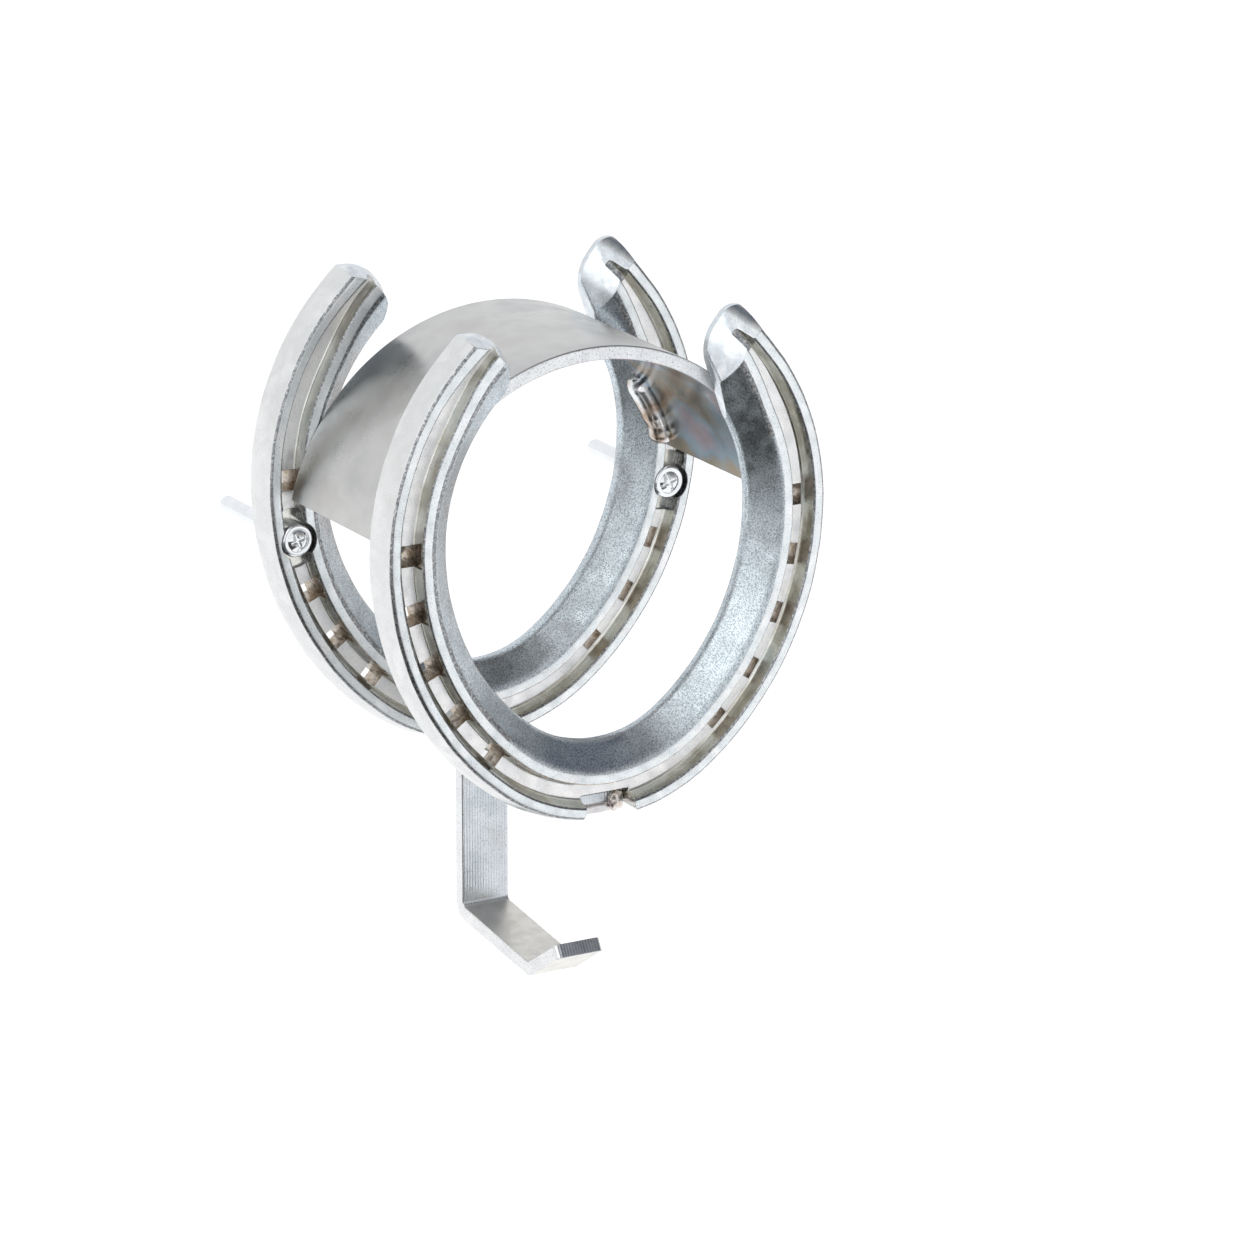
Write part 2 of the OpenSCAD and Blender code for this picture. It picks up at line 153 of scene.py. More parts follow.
@dataclass(frozen=True)
class ZincAndPaintedLightFinish:
    """Zinc plate over worked steel, and in some finishes painted light, painted shade and painted reflection;
    lengths are in millimetres.

    The tints are blended by a slow mottle, specks darken them, and the grain gives the bump.
    """

    name: str
    tints: tuple[Color, ...]
    roughness: tuple[float, float]
    grain: Grain = Grain.FROSTED
    mottle: float = 9.0
    grain_size: float = 0.35
    grain_depth: float = 0.02
    grain_axis: tuple[float, float, float] = (1.0, 1.0, 1.0)
    specks: float = 0.0
    speck_size: float = 0.6
    speck_tint: Color = (0.16, 0.16, 0.17)
    edge_round: float = 0.3

    def material(self) -> bpy.types.Material:
        """Builds the node material, or returns the one already built.

        Returns:
            The material of this finish.
        """
        known = bpy.data.materials.get(self.name)
        if known:
            return known
        material = bpy.data.materials.new(self.name)
        material.use_nodes = True
        graph = material.node_tree
        shader = graph.nodes["Principled BSDF"]
        shader.inputs["Metallic"].default_value = 1.0
        place = graph.nodes.new("ShaderNodeTexCoord").outputs["Object"]
        self._paint(graph, shader, place)
        self._relief(graph, shader, place)
        return material

    def _noise(self, graph: bpy.types.NodeTree, place: bpy.types.NodeSocket, size: float, detail: float,
               stretch: Sequence[float] = (1.0, 1.0, 1.0), roughness: float = 0.5) -> bpy.types.NodeSocket:
        """Adds a noise pattern.

        Args:
            graph: The material's nodes.
            place: The coordinates that the pattern reads.
            size: Size of the pattern's features, in millimetres.
            detail: Number of finer layers.
            stretch: Scale of the pattern along each axis.
            roughness: Weight of the finer layers.

        Returns:
            The pattern's value.
        """
        mapping = graph.nodes.new("ShaderNodeMapping")
        mapping.inputs["Scale"].default_value = stretch
        pattern = graph.nodes.new("ShaderNodeTexNoise")
        pattern.inputs["Scale"].default_value = 1.0 / (size * MM)
        pattern.inputs["Detail"].default_value = detail
        pattern.inputs["Roughness"].default_value = roughness
        graph.links.new(place, mapping.inputs["Vector"])
        graph.links.new(mapping.outputs["Vector"], pattern.inputs["Vector"])
        return pattern.outputs["Fac"]

    def _paint(self, graph: bpy.types.NodeTree, shader: bpy.types.Node, place: bpy.types.NodeSocket) -> None:
        """Links the tints, the specks and the uneven gloss.

        Args:
            graph: The material's nodes.
            shader: The surface shader.
            place: The coordinates that the patterns read.
        """
        mottle = self._noise(graph, place, self.mottle, 3.0)
        low, high = MOTTLE_SPAN
        last = max(len(self.tints) - 1, 1)
        stops = [(low + (high - low) * k / last, tint) for k, tint in enumerate(self.tints)]
        color = color_ramp(graph, mottle, stops)
        if self.specks > 0.0:
            speck = self._noise(graph, place, self.speck_size, 2.0, roughness=0.6)
            dark, clear = (stop + SPECK_GAIN * self.specks for stop in SPECK_SPAN)
            shade = color_ramp(graph, speck, [(dark, self.speck_tint), (clear, WHITE)])
            mix = graph.nodes.new("ShaderNodeMix")
            mix.data_type = "RGBA"
            mix.blend_type = "MULTIPLY"
            mix.inputs["Factor"].default_value = 1.0
            graph.links.new(color, mix.inputs["A"])
            graph.links.new(shade, mix.inputs["B"])
            color = mix.outputs["Result"]
        graph.links.new(color, shader.inputs["Base Color"])
        gloss = graph.nodes.new("ShaderNodeMapRange")
        for end, source, target in zip(("Min", "Max"), GLOSS_SPAN, self.roughness):
            gloss.inputs[f"From {end}"].default_value = source
            gloss.inputs[f"To {end}"].default_value = target
        patches = self._noise(graph, place, self.mottle / 3.0, 4.0)
        graph.links.new(patches, gloss.inputs["Value"])
        graph.links.new(gloss.outputs["Result"], shader.inputs["Roughness"])

    def _relief(self, graph: bpy.types.NodeTree, shader: bpy.types.Node, place: bpy.types.NodeSocket) -> None:
        """Links the grain as a bump over softened edges.

        Args:
            graph: The material's nodes.
            shader: The surface shader.
            place: The coordinates that the grain reads.
        """
        edges = graph.nodes.new("ShaderNodeBevel")
        edges.samples = 6
        edges.inputs["Radius"].default_value = self.edge_round * MM
        if self.grain is Grain.RIBBED:
            ribs = graph.nodes.new("ShaderNodeTexWave")
            ribs.bands_direction = "X"
            ribs.inputs["Scale"].default_value = 1.0 / (self.grain_size * MM) / WAVE_BANDS
            ribs.inputs["Distortion"].default_value = 1.2
            ribs.inputs["Detail"].default_value = 2.0
            graph.links.new(place, ribs.inputs["Vector"])
            height = ribs.outputs["Fac"]
        else:
            detail = 1.0 if self.grain is Grain.FLOWED else 3.0
            height = self._noise(graph, place, self.grain_size, detail, self.grain_axis)
        bump = graph.nodes.new("ShaderNodeBump")
        bump.inputs["Strength"].default_value = 1.0
        bump.inputs["Distance"].default_value = self.grain_depth * MM
        graph.links.new(height, bump.inputs["Height"])
        graph.links.new(edges.outputs["Normal"], bump.inputs["Normal"])
        graph.links.new(bump.outputs["Normal"], shader.inputs["Normal"])


SHOE_FINISHES: dict[Region, ZincAndPaintedLightFinish] = {
    Region.SIDE: ZincAndPaintedLightFinish(
        "shoe_side_zinc", ((0.77, 0.78, 0.78), (0.71, 0.72, 0.72), (0.81, 0.82, 0.82)), (0.2, 0.32),
        grain_size=0.5, grain_depth=0.015, grain_axis=(1.0, 0.5, 0.5)),
    Region.RIM: ZincAndPaintedLightFinish(
        "shoe_rim_zinc", ((0.89, 0.92, 0.93), (0.82, 0.87, 0.89), (0.94, 0.95, 0.96)), (0.3, 0.5),
        grain_size=0.35, grain_depth=0.04, specks=0.4, speck_size=0.4, speck_tint=(0.5, 0.54, 0.58)),
    Region.GROOVE: ZincAndPaintedLightFinish(
        "shoe_groove_zinc", ((0.64, 0.63, 0.57), (0.53, 0.52, 0.47), (0.74, 0.74, 0.70), (0.60, 0.63, 0.61)),
        (0.16, 0.28), grain_size=0.8, grain_depth=0.012, mottle=12.0),
    Region.FLOOR: ZincAndPaintedLightFinish(
        "shoe_floor_zinc", ((0.90, 0.89, 0.88), (0.82, 0.83, 0.84), (0.93, 0.92, 0.91)), (0.3, 0.45),
        grain_size=0.5, grain_depth=0.03, mottle=12.0, specks=0.4, speck_size=0.4, speck_tint=(0.6, 0.62, 0.64)),
    Region.BEVEL: ZincAndPaintedLightFinish(
        "shoe_bevel_zinc", ((0.58, 0.64, 0.67), (0.70, 0.77, 0.81), (0.54, 0.58, 0.61)), (0.24, 0.38),
        grain_size=0.35, grain_depth=0.05, specks=0.9, speck_size=0.42, speck_tint=(0.52, 0.55, 0.58),
        mottle=14.0),
    Region.GRIND: ZincAndPaintedLightFinish(
        "shoe_heel_zinc", ((0.76, 0.81, 0.84), (0.63, 0.68, 0.72), (0.85, 0.88, 0.90)), (0.18, 0.3),
        grain_size=0.5, grain_depth=0.03, grain_axis=(1.0, 1.0, 0.12), mottle=5.0),
    # Painted shade: dark brown tints for the nail holes' walls and for the groove's inner lip at the toe
    Region.HOLE: ZincAndPaintedLightFinish(
        "shoe_recess_painted_shade", ((0.36, 0.28, 0.20), (0.58, 0.53, 0.47), (0.20, 0.17, 0.14)), (0.22, 0.36),
        grain_size=0.6, grain_depth=0.04, mottle=3.0),
    # Painted reflection and shade: dark bands along the rounded edges, and the shade in the heel's slit and the
    # screw's bore
    Region.EDGE: ZincAndPaintedLightFinish(
        "shoe_edge_painted_reflection_and_shade", ((0.15, 0.16, 0.18), (0.30, 0.31, 0.32), (0.62, 0.63, 0.64)), (0.3, 0.45),
        grain_size=0.4, grain_depth=0.04, mottle=0.7),
}

PLATE_FINISHES: dict[Face, ZincAndPaintedLightFinish] = {
    Face.OUTER: ZincAndPaintedLightFinish(
        "plate_top_zinc", ((0.55, 0.54, 0.53), (0.60, 0.60, 0.59), (0.52, 0.52, 0.52)), (0.27, 0.36),
        grain_size=0.6, grain_depth=0.008, mottle=18.0),
    Face.INNER: ZincAndPaintedLightFinish(
        "plate_under_zinc",
        ((0.38, 0.33, 0.22), (0.56, 0.43, 0.47), (0.37, 0.46, 0.52), (0.44, 0.35, 0.25), (0.36, 0.37, 0.32)),
        (0.16, 0.24), grain_size=0.8, grain_depth=0.006, mottle=26.0),
    Face.EDGE: ZincAndPaintedLightFinish(
        "plate_edge_zinc", ((0.88, 0.90, 0.92), (0.80, 0.82, 0.84)), (0.35, 0.5),
        grain_size=0.4, grain_depth=0.04, specks=0.5, speck_size=0.5, speck_tint=(0.5, 0.5, 0.5)),
}

STRIP_FINISHES: dict[Face, ZincAndPaintedLightFinish] = {
    # Painted light: the strip's flat-lying faces get a lighter beige tint than its upright faces
    Face.OUTER: ZincAndPaintedLightFinish(
        "strip_flat_zinc_painted_light", ((0.78, 0.76, 0.71), (0.84, 0.83, 0.79), (0.74, 0.72, 0.69)), (0.34, 0.46),
        grain_size=0.5, grain_depth=0.012),
    # Painted shade: the upright faces of the same strip get a darker bluish tint
    Face.INNER: ZincAndPaintedLightFinish(
        "strip_upright_zinc_painted_shade", ((0.58, 0.63, 0.67), (0.68, 0.72, 0.76), (0.62, 0.64, 0.66)), (0.24, 0.36),
        grain=Grain.RIBBED, grain_size=0.14, grain_depth=0.05, specks=0.4, speck_size=0.5,
        speck_tint=(0.6, 0.62, 0.64)),
    Face.EDGE: ZincAndPaintedLightFinish(
        "strip_edge_zinc", ((0.84, 0.85, 0.85), (0.74, 0.75, 0.76)), (0.24, 0.36),
        grain_size=0.5, grain_depth=0.02, specks=0.4, speck_size=0.5, speck_tint=(0.5, 0.52, 0.55)),
}

WELD_FINISH = ZincAndPaintedLightFinish(
    "weld_zinc", ((0.84, 0.86, 0.88), (0.80, 0.81, 0.82), (0.44, 0.33, 0.25), (0.80, 0.81, 0.83)), (0.12, 0.24),
    grain=Grain.FLOWED, mottle=11.0, grain_size=2.4, grain_depth=0.012)

SEAM_FINISH = ZincAndPaintedLightFinish(
    "seam_zinc", ((0.62, 0.60, 0.62), (0.70, 0.68, 0.68), (0.56, 0.52, 0.51)), (0.2, 0.34),
    grain=Grain.FLOWED, mottle=5.0, grain_size=1.2, grain_depth=0.03)

CREST_FINISH = ZincAndPaintedLightFinish(
    "crest_zinc", ((0.76, 0.70, 0.64), (0.84, 0.80, 0.77), (0.64, 0.56, 0.50), (0.90, 0.88, 0.87)), (0.24, 0.4),
    mottle=2.4, grain_size=0.5, grain_depth=0.08)

SCREW_FINISH = ZincAndPaintedLightFinish(
    "screw_zinc", ((0.88, 0.90, 0.92), (0.82, 0.84, 0.86)), (0.08, 0.16), grain_size=0.8, grain_depth=0.003,
    mottle=4.0, edge_round=0.2)


@dataclass(frozen=True)
class WallFrame:
    """The drawing frame in millimetres: x right, y up from the rear shoe's widest line, z out of the wall."""

    rise: float

    def placed(self, y: float = 0.0, z: float = 0.0) -> Matrix:
        """Gives the way from a drawing to the part's frame in metres.

        Args:
            y: Height of the drawing's origin.
            z: Distance of the drawing's origin from the wall.

        Returns:
            The matrix that places the drawing.
        """
        upright = Matrix.Rotation(math.radians(90.0), 4, "X")
        raised = Matrix.Scale(MM, 4) @ Matrix.Translation((0.0, 0.0, self.rise)) @ upright
        return raised @ Matrix.Translation((0.0, y, z))


def edges_of(geometry: Iterable[object]) -> list[BMEdge]:
    """Picks the edges out of an operator's result."""
    return [item for item in geometry if isinstance(item, BMEdge)]


def all_geometry(bm: BMesh) -> list[BMVert | BMEdge | BMFace]:
    """Lists everything in a mesh, as operators take it."""
    return [*bm.verts, *bm.edges, *bm.faces]


def paint(bm: BMesh, slot: int) -> None:
    """Gives all faces of a mesh one material slot."""
    for face in bm.faces:
        face.material_index = slot


def mirrored(bm: BMesh) -> BMesh:
    """Adds a mesh's mirror image on the other side of the middle plane."""
    bmesh.ops.mirror(bm, geom=all_geometry(bm), matrix=Matrix.Identity(4), merge_dist=0.0, axis="X")
    return bm


def add_box(bm: BMesh, size: Sequence[float], middle: Sequence[float]) -> None:
    """Adds a box of a size to a mesh, about its middle."""
    verts = bmesh.ops.create_cube(bm, size=1.0)["verts"]
    bmesh.ops.scale(bm, vec=size, verts=verts)
    bmesh.ops.translate(bm, vec=middle, verts=verts)


def mesh_of(name: str, bm: BMesh) -> bpy.types.Mesh:
    """Turns a mesh under construction, which is used up, into mesh data."""
    mesh = bpy.data.meshes.new(name)
    bm.to_mesh(mesh)
    bm.free()
    return mesh


def shown(name: str, data: bpy.types.ID) -> bpy.types.Object:
    """Puts an object that holds some data into the scene."""
    obj = bpy.data.objects.new(name, data)
    bpy.context.scene.collection.objects.link(obj)
    return obj


def rounded_outline(bm: BMesh, corners: Sequence[tuple[Vector, float]], segments: int = 4) -> list[BMEdge]:
    """Draws a closed outline with rounded corners.

    Args:
        bm: The mesh to draw in.
        corners: Each corner's place and how far its rounding reaches along the sides.
        segments: Number of facets in each rounding.

    Returns:
        The outline's edges.
    """
    verts = [bm.verts.new(place) for place, _ in corners]
    bm.faces.new(verts)
    for vert, (_, reach) in zip(verts, corners):
        bmesh.ops.bevel(bm, geom=[vert], offset=reach, affect="VERTICES", segments=segments, profile=0.5,
                        material=-1)
    bmesh.ops.delete(bm, geom=bm.faces[:], context="FACES_ONLY")
    return bm.edges[:]


def sweep(bm: BMesh, edges: Sequence[BMEdge], centre: Sequence[float], axis: Sequence[float], turn: float,
          steps: int, shift: Sequence[float] = (0.0, 0.0, 0.0)) -> list[BMEdge]:
    """Spins an outline about an axis, or carries it along a straight line.

    Args:
        bm: The mesh that holds the outline.
        edges: The outline.
        centre: A point on the axis.
        axis: The axis.
        turn: The whole turn, in degrees.
        steps: Number of steps.
        shift: The whole move along a straight line.

    Returns:
        The outline at the far end.
    """
    verts = {vert for edge in edges for vert in edge.verts}
    step = [part / steps for part in shift]
    spun = bmesh.ops.spin(bm, geom=[*verts, *edges], cent=centre, axis=axis, dvec=step, angle=math.radians(turn),
                          steps=steps, use_merge=False, use_normal_flip=False, use_duplicate=False)
    return edges_of(spun["geom_last"])


def carved(bm: BMesh, cutter: BMesh, joint: Joint = Joint.CUT) -> BMesh:
    """Cuts one closed mesh out of another or fuses it on, keeping the material slots of both.

    Args:
        bm: The mesh to work on, which is used up.
        cutter: What to cut out or fuse on, which is used up.
        joint: What becomes of the two.

    Returns:
        The worked mesh.
    """
    objects = []
    for name, source in (("carved_body", bm), ("carved_tool", cutter)):
        bmesh.ops.recalc_face_normals(source, faces=source.faces)
        mesh = mesh_of(name, source)
        for region in Region:
            mesh.materials.append(SHOE_FINISHES[region].material())
        objects.append(shown(name, mesh))
    body, tool = objects
    boolean = body.modifiers.new("carve", "BOOLEAN")
    boolean.object = tool
    boolean.operation = joint.value
    boolean.solver = "EXACT"
    boolean.use_self = True
    bpy.context.view_layer.update()
    result = bmesh.new()
    result.from_object(body, bpy.context.evaluated_depsgraph_get())
    for obj in objects:
        mesh = obj.data
        bpy.data.objects.remove(obj)
        bpy.data.meshes.remove(mesh)
    return result


def piece(name: str, bm: BMesh, place: Matrix, finishes: Sequence[ZincAndPaintedLightFinish],
          sharp: float = 32.0) -> None:
    """Makes a finished mesh a piece of the rack that stands for the node of the same name.

    Args:
        name: The node's name.
        bm: The mesh in its drawing frame, which is used up.
        place: The way from the drawing frame to the part's.
        finishes: The finishes, in the order of the mesh's material slots.
        sharp: Angle past which an edge is shaded as a crease, in degrees.
    """
    bmesh.ops.transform(bm, matrix=place, verts=bm.verts)
    bmesh.ops.recalc_face_normals(bm, faces=bm.faces)
    mesh = mesh_of(f"{name}_mesh", bm)
    for finish in finishes:
        mesh.materials.append(finish.material())
    mesh.shade_smooth()
    mesh.set_sharp_from_angle(angle=math.radians(sharp))
    obj = shown(f"{name}_dressed", mesh)
    weighted = obj.modifiers.new("even_normals", "WEIGHTED_NORMAL")
    weighted.keep_sharp = True
    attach(obj, ROOT)
    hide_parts(name)
    LOG.info("%s: %d faces", name, len(mesh.polygons))


@dataclass(frozen=True)
class Heel:
    """The end of a branch; lengths are in millimetres.

    The shifts say how far the groove's outer lip, its inner lip and the top of the slope move inwards at the
    end. The ridge is the place across, back from the end and over the hoof face where the bevel's ridge ends.
    """

    side: float
    arc_r: float
    angle: float
    bevel_length: float
    in_r: float
    out_r: float
    draw_w: float
    shifts: tuple[float, float, float]
    lobe: float
    flare: float
    slit_length: float
    ridge: tuple[float, float, float]


RIGHT_HEEL = Heel(
    side=1.0, arc_r=74.5, angle=51.0, bevel_length=8.5, in_r=12.0, out_r=6.0, draw_w=3.0,
    shifts=(0.3, -4.1, -4.1), lobe=1.0, flare=1.8, slit_length=11.0, ridge=(3.2, 1.8, 4.5))
LEFT_HEEL = Heel(
    side=-1.0, arc_r=78.0, angle=54.5, bevel_length=3.0, in_r=9.5, out_r=11.0, draw_w=0.0,
    shifts=(0.9, -3.0, -2.2), lobe=0.0, flare=0.0, slit_length=0.0, ridge=(0.0, 3.0, 1.0))


@dataclass
class Shoe:
    """A fullered concave shoe; lengths are in millimetres and y = 0 is its widest line."""

    node: str
    place: Matrix
    relieved: bool
    screwed: bool
    bar_t: float = 10.0
    bar_w: float = 22.4
    outer_rim_w: float = 3.1
    inner_rim_w: float = 3.5
    groove_w: float = 6.9
    groove_t: float = 4.0
    outer_taper_w: float = 1.5
    outer_taper_t: float = 5.3
    inner_land_t: float = 3.0
    outer_run_share: float = 0.225
    inner_run_share: float = 0.11
    toe_r: float = 56.0
    quarter_r: float = 91.0
    toe_sine: float = 0.6
    toe_cosine: float = 0.8
    heel_land_t: float = 2.0
    nail_count: int = 5
    nail_pitch: float = 17.0
    nail_lead: float = 1.0
    nail_size: Point2 = (5.2, 6.8)
    nail_mouth_t: float = 1.0
    nail_shift: float = -0.8
    nail_exit: Point2 = (2.8, 4.4)
    notch_w: float = 15.4
    notch_seat_t: float = 3.0
    notch_slope: float = 22.0
    notch_round: float = 3.4
    strip_w: float = 15.0
    screw_hole: int = 1
    screw_bore_d: float = 5.5
    seat_d: float = 11.2
    seat_t: float = 5.0
    pocket_length: float = 17.6
    pocket_w: float = 6.2
    step_length: float = 1.4
    fine_step_length: float = 0.5
    heel_zone: float = 30.0
    flare_zone: float = 14.0
    lobe_length: float = 8.5
    lobe_ease: float = 1.5
    wobble: float = 0.09
    wobble_size: float = 6.0
    skin_t: float = 0.06
    hoof_skin_t: float = 0.01
    lip_w: float = 0.55
    slope_lip_share: float = 1.1
    right_fade: float = 25.0
    left_fade: float = 40.0

    def __post_init__(self) -> None:
        """Works out the section and the centres of the arcs."""
        self.groove_out = self.outer_taper_w + self.outer_rim_w
        self.groove_in = self.groove_out + self.groove_w
        self.floor_out = self.groove_out + self.outer_run_share * self.groove_w
        self.floor_in = self.groove_in - self.inner_run_share * self.groove_w
        self.floor_mid = (self.floor_out + self.floor_in) / 2.0
        self.bevel_at = self.groove_in + self.inner_rim_w
        self.floor_z = self.bar_t - self.groove_t
        self.quarter_x = (self.toe_r - self.quarter_r) * self.toe_sine
        self.toe_y = (self.toe_r - self.quarter_r) * self.toe_cosine
        self.toe_edge_y = self.toe_y - self.toe_r
        self.toe_turn = math.degrees(math.asin(self.toe_sine))
        self.quarter_turn = 90.0 - self.toe_turn
        self.roof_y = (self.toe_edge_y + self.floor_out
                       + self.strip_w ** 2 / (8.0 * (self.toe_r - self.floor_out)))

    def heel_x(self, heel: Heel) -> float:
        """Finds the centre of a heel's arc, measured from the middle plane."""
        return self.quarter_x + self.quarter_r - heel.arc_r

    def heel_left(self, heel: Heel, x: float, y: float) -> float:
        """Measures how far a point lies before the end of its branch, along the bar's middle line."""
        angle = math.atan2(y, abs(x) - self.heel_x(heel))
        return (math.radians(heel.angle) - angle) * (heel.arc_r - self.bar_w / 2.0)

    def inward(self, x: float, y: float) -> float:
        """Measures how far a point lies inside the outer edge of the hoof face.

        Args:
            x: Distance from the middle plane.
            y: Height over the widest line.

        Returns:
            The distance inwards.
        """
        across = abs(x)
        if y >= 0.0:
            heel = RIGHT_HEEL if x >= 0.0 else LEFT_HEEL
            return heel.arc_r - math.hypot(across - self.heel_x(heel), y)
        if math.atan2(y, across - self.quarter_x) > -math.radians(self.quarter_turn):
            return self.quarter_r - math.hypot(across - self.quarter_x, y)
        return self.toe_r - math.hypot(across, y - self.toe_y)

    def nail_place(self, index: int) -> tuple[float, float, float]:
        """Finds a nail hole of the right branch.

        Args:
            index: Number of the hole, counted from the heel.

        Returns:
            Its x and y, and the direction across the bar in degrees.
        """
        along = self.nail_lead - index * self.nail_pitch
        radius = (RIGHT_HEEL.arc_r if along >= 0.0 else self.quarter_r) - self.floor_mid
        centre = self.heel_x(RIGHT_HEEL) if along >= 0.0 else self.quarter_x
        limit = -radius * math.radians(self.quarter_turn)
        if along >= limit:
            angle = along / radius
            return centre + radius * math.cos(angle), radius * math.sin(angle), math.degrees(angle)
        radius = self.toe_r - self.floor_mid
        angle = (along - limit) / radius - math.radians(self.quarter_turn)
        return radius * math.cos(angle), self.toe_y + radius * math.sin(angle), math.degrees(angle)

    def section(self) -> list[tuple[Vector, float]]:
        """Lists the corners of the bar at the toe, with the reach of their rounding."""
        corners = [
            (0.0, 0.0, 0.7), (0.0, self.bar_t - self.outer_taper_t, 2.2), (self.outer_taper_w, self.bar_t, 1.0),
            (self.groove_out, self.bar_t, 0.55), (self.floor_out, self.floor_z, 0.9),
            (self.floor_in, self.floor_z, 0.6), (self.groove_in, self.bar_t, 0.5),
            (self.bevel_at, self.bar_t, 1.5), (self.bar_w, self.inner_land_t, 1.2), (self.bar_w, 0.0, 0.6)]
        return [(Vector((0.0, self.toe_edge_y + u, z)), reach) for u, z, reach in corners]

    def region(self, face: BMFace) -> Region:
        """Names the part of the surface that a face of the plain bar lies in."""
        middle = face.calc_center_median()
        u = self.inward(middle.x, middle.y)
        skin, lip = self.skin_t, self.lip_w
        if middle.z > self.bar_t - skin:
            return Region.RIM
        fade = middle.y / self.right_fade if middle.x > 0.0 else -middle.x / self.left_fade
        slope_lip = self.slope_lip_share * lip * min(max(fade, 0.0), 1.0)
        # Bands just below the rims' edges get the dark edge finish, a painted reflection
        marks = ((self.outer_taper_w, lip), (self.groove_out, lip), (self.groove_in, lip),
                 (self.bevel_at, slope_lip))
        if any(middle.z > self.bar_t - reach and abs(u - mark) < reach for mark, reach in marks):
            # At the toe the groove's inner lip gets the dark brown recess finish, a painted shadow
            at_toe = middle.y < self.toe_y - self.bar_w / 2.0 and abs(u - self.groove_in) < lip
            return Region.HOLE if at_toe else Region.EDGE
        # Bands along the hoof face's edges get the same dark edge finish
        if skin < middle.z < lip and min(abs(u), abs(u - self.bar_w)) < lip:
            return Region.EDGE
        if u < self.groove_out - self.outer_rim_w / 2.0 or middle.z < skin:
            return Region.SIDE
        if u > self.groove_in + self.inner_rim_w / 2.0:
            return Region.BEVEL
        if middle.z > self.floor_z + skin:
            return Region.GROOVE
        # The groove's floor inside the right heel's slit gets the dark edge finish as painted shade
        in_slit = middle.x > 0.0 and self.heel_left(RIGHT_HEEL, middle.x, middle.y) < RIGHT_HEEL.slit_length
        return Region.EDGE if in_slit else Region.FLOOR

    def runs(self, heel: Heel) -> list[tuple[Vector, float, float, float]]:
        """Lists the arcs of a branch from the toe to a little past its heel.

        Args:
            heel: The end of the branch.

        Returns:
            Each arc's centre, outer radius, turn in degrees and step length.
        """
        middle_r = heel.arc_r - self.bar_w / 2.0
        fine = math.degrees(self.heel_zone / middle_r)
        spare = math.degrees(self.lobe_length / 3.0 / middle_r)
        at_heel = Vector((heel.side * self.heel_x(heel), 0.0, 0.0))
        return [
            (Vector((0.0, self.toe_y, 0.0)), self.toe_r, self.toe_turn, self.step_length),
            (Vector((heel.side * self.quarter_x, 0.0, 0.0)), self.quarter_r, self.quarter_turn, self.step_length),
            (at_heel, heel.arc_r, heel.angle - fine, self.step_length),
            (at_heel, heel.arc_r, fine + spare, self.fine_step_length)]

    def blank(self) -> BMesh:
        """Rolls the bar to the shoe's outline, with the heels left long.

        Returns:
            The blank.
        """
        bm = bmesh.new()
        toe = rounded_outline(bm, self.section())
        for heel in (RIGHT_HEEL, LEFT_HEEL):
            edges = toe
            for centre, radius, turn, length in self.runs(heel):
                steps = max(2, round(math.radians(turn) * radius / length))
                edges = sweep(bm, edges, centre, (0.0, 0.0, 1.0), heel.side * turn, steps)
            bmesh.ops.edgeloop_fill(bm, edges=edges)
        bmesh.ops.recalc_face_normals(bm, faces=bm.faces)
        for face in bm.faces:
            face.material_index = self.region(face)
        for vert in bm.verts:
            vert.co = self.worked(vert.co)
        return bm

    def worked(self, place: Vector) -> Vector:
        """Moves a point of the rolled bar to where forging left it.

        The groove closes towards the heel, the inner slope of the right branch ends in a lobe there, and the
        edges waver.

        Args:
            place: The point on the plain bar.

        Returns:
            The point on the forged bar.
        """
        x, y, z = place
        if y > 0.0:
            heel = RIGHT_HEEL if x >= 0.0 else LEFT_HEEL
            u = self.inward(x, y)
            left = self.heel_left(heel, x, y)
            near = 1.0 - min(max(left / self.heel_zone, 0.0), 1.0)
            near = near * near * (3.0 - 2.0 * near)
            marks = [self.outer_taper_w, self.groove_out, self.groove_in, self.bevel_at, self.bar_w]
            moved = [mark + near * shift for mark, shift in zip(marks, (0.0, *heel.shifts, 0.0))]
            shift = 0.0
            for (a, b), (c, d) in zip(zip(marks, marks[1:]), zip(moved, moved[1:])):
                if a <= u <= b:
                    shift = c + (u - a) * (d - c) / (b - a) - u
            if u > self.bevel_at and z > self.hoof_skin_t:
                across = min((u - self.bevel_at) / (self.bar_w - self.bevel_at), 1.0)
                slope_z = self.bar_t - across * (self.bar_t - self.inner_land_t)
                start = self.lobe_length + self.lobe_ease * across ** 2
                lift = min(max((start - left) / self.lobe_ease, 0.0), 1.0)
                z *= 1.0 + heel.lobe * lift * (self.bar_t / slope_z - 1.0)
            tip = 1.0 - min(max(left / self.flare_zone, 0.0), 1.0)
            flare = heel.flare * tip ** 2 * max(1.0 - 2.0 * u / self.bar_w, 0.0)
            radius = heel.arc_r - u - shift + flare
            angle = math.atan2(y, abs(x) - self.heel_x(heel))
            x = heel.side * (self.heel_x(heel) + radius * math.cos(angle))
            y = radius * math.sin(angle)
        waver = noise.noise_vector(Vector((x, y, z)) / self.wobble_size) * self.wobble
        on_hoof_face = z < self.hoof_skin_t
        return Vector((x + waver.x, y + waver.y, z if on_hoof_face else z + waver.z))

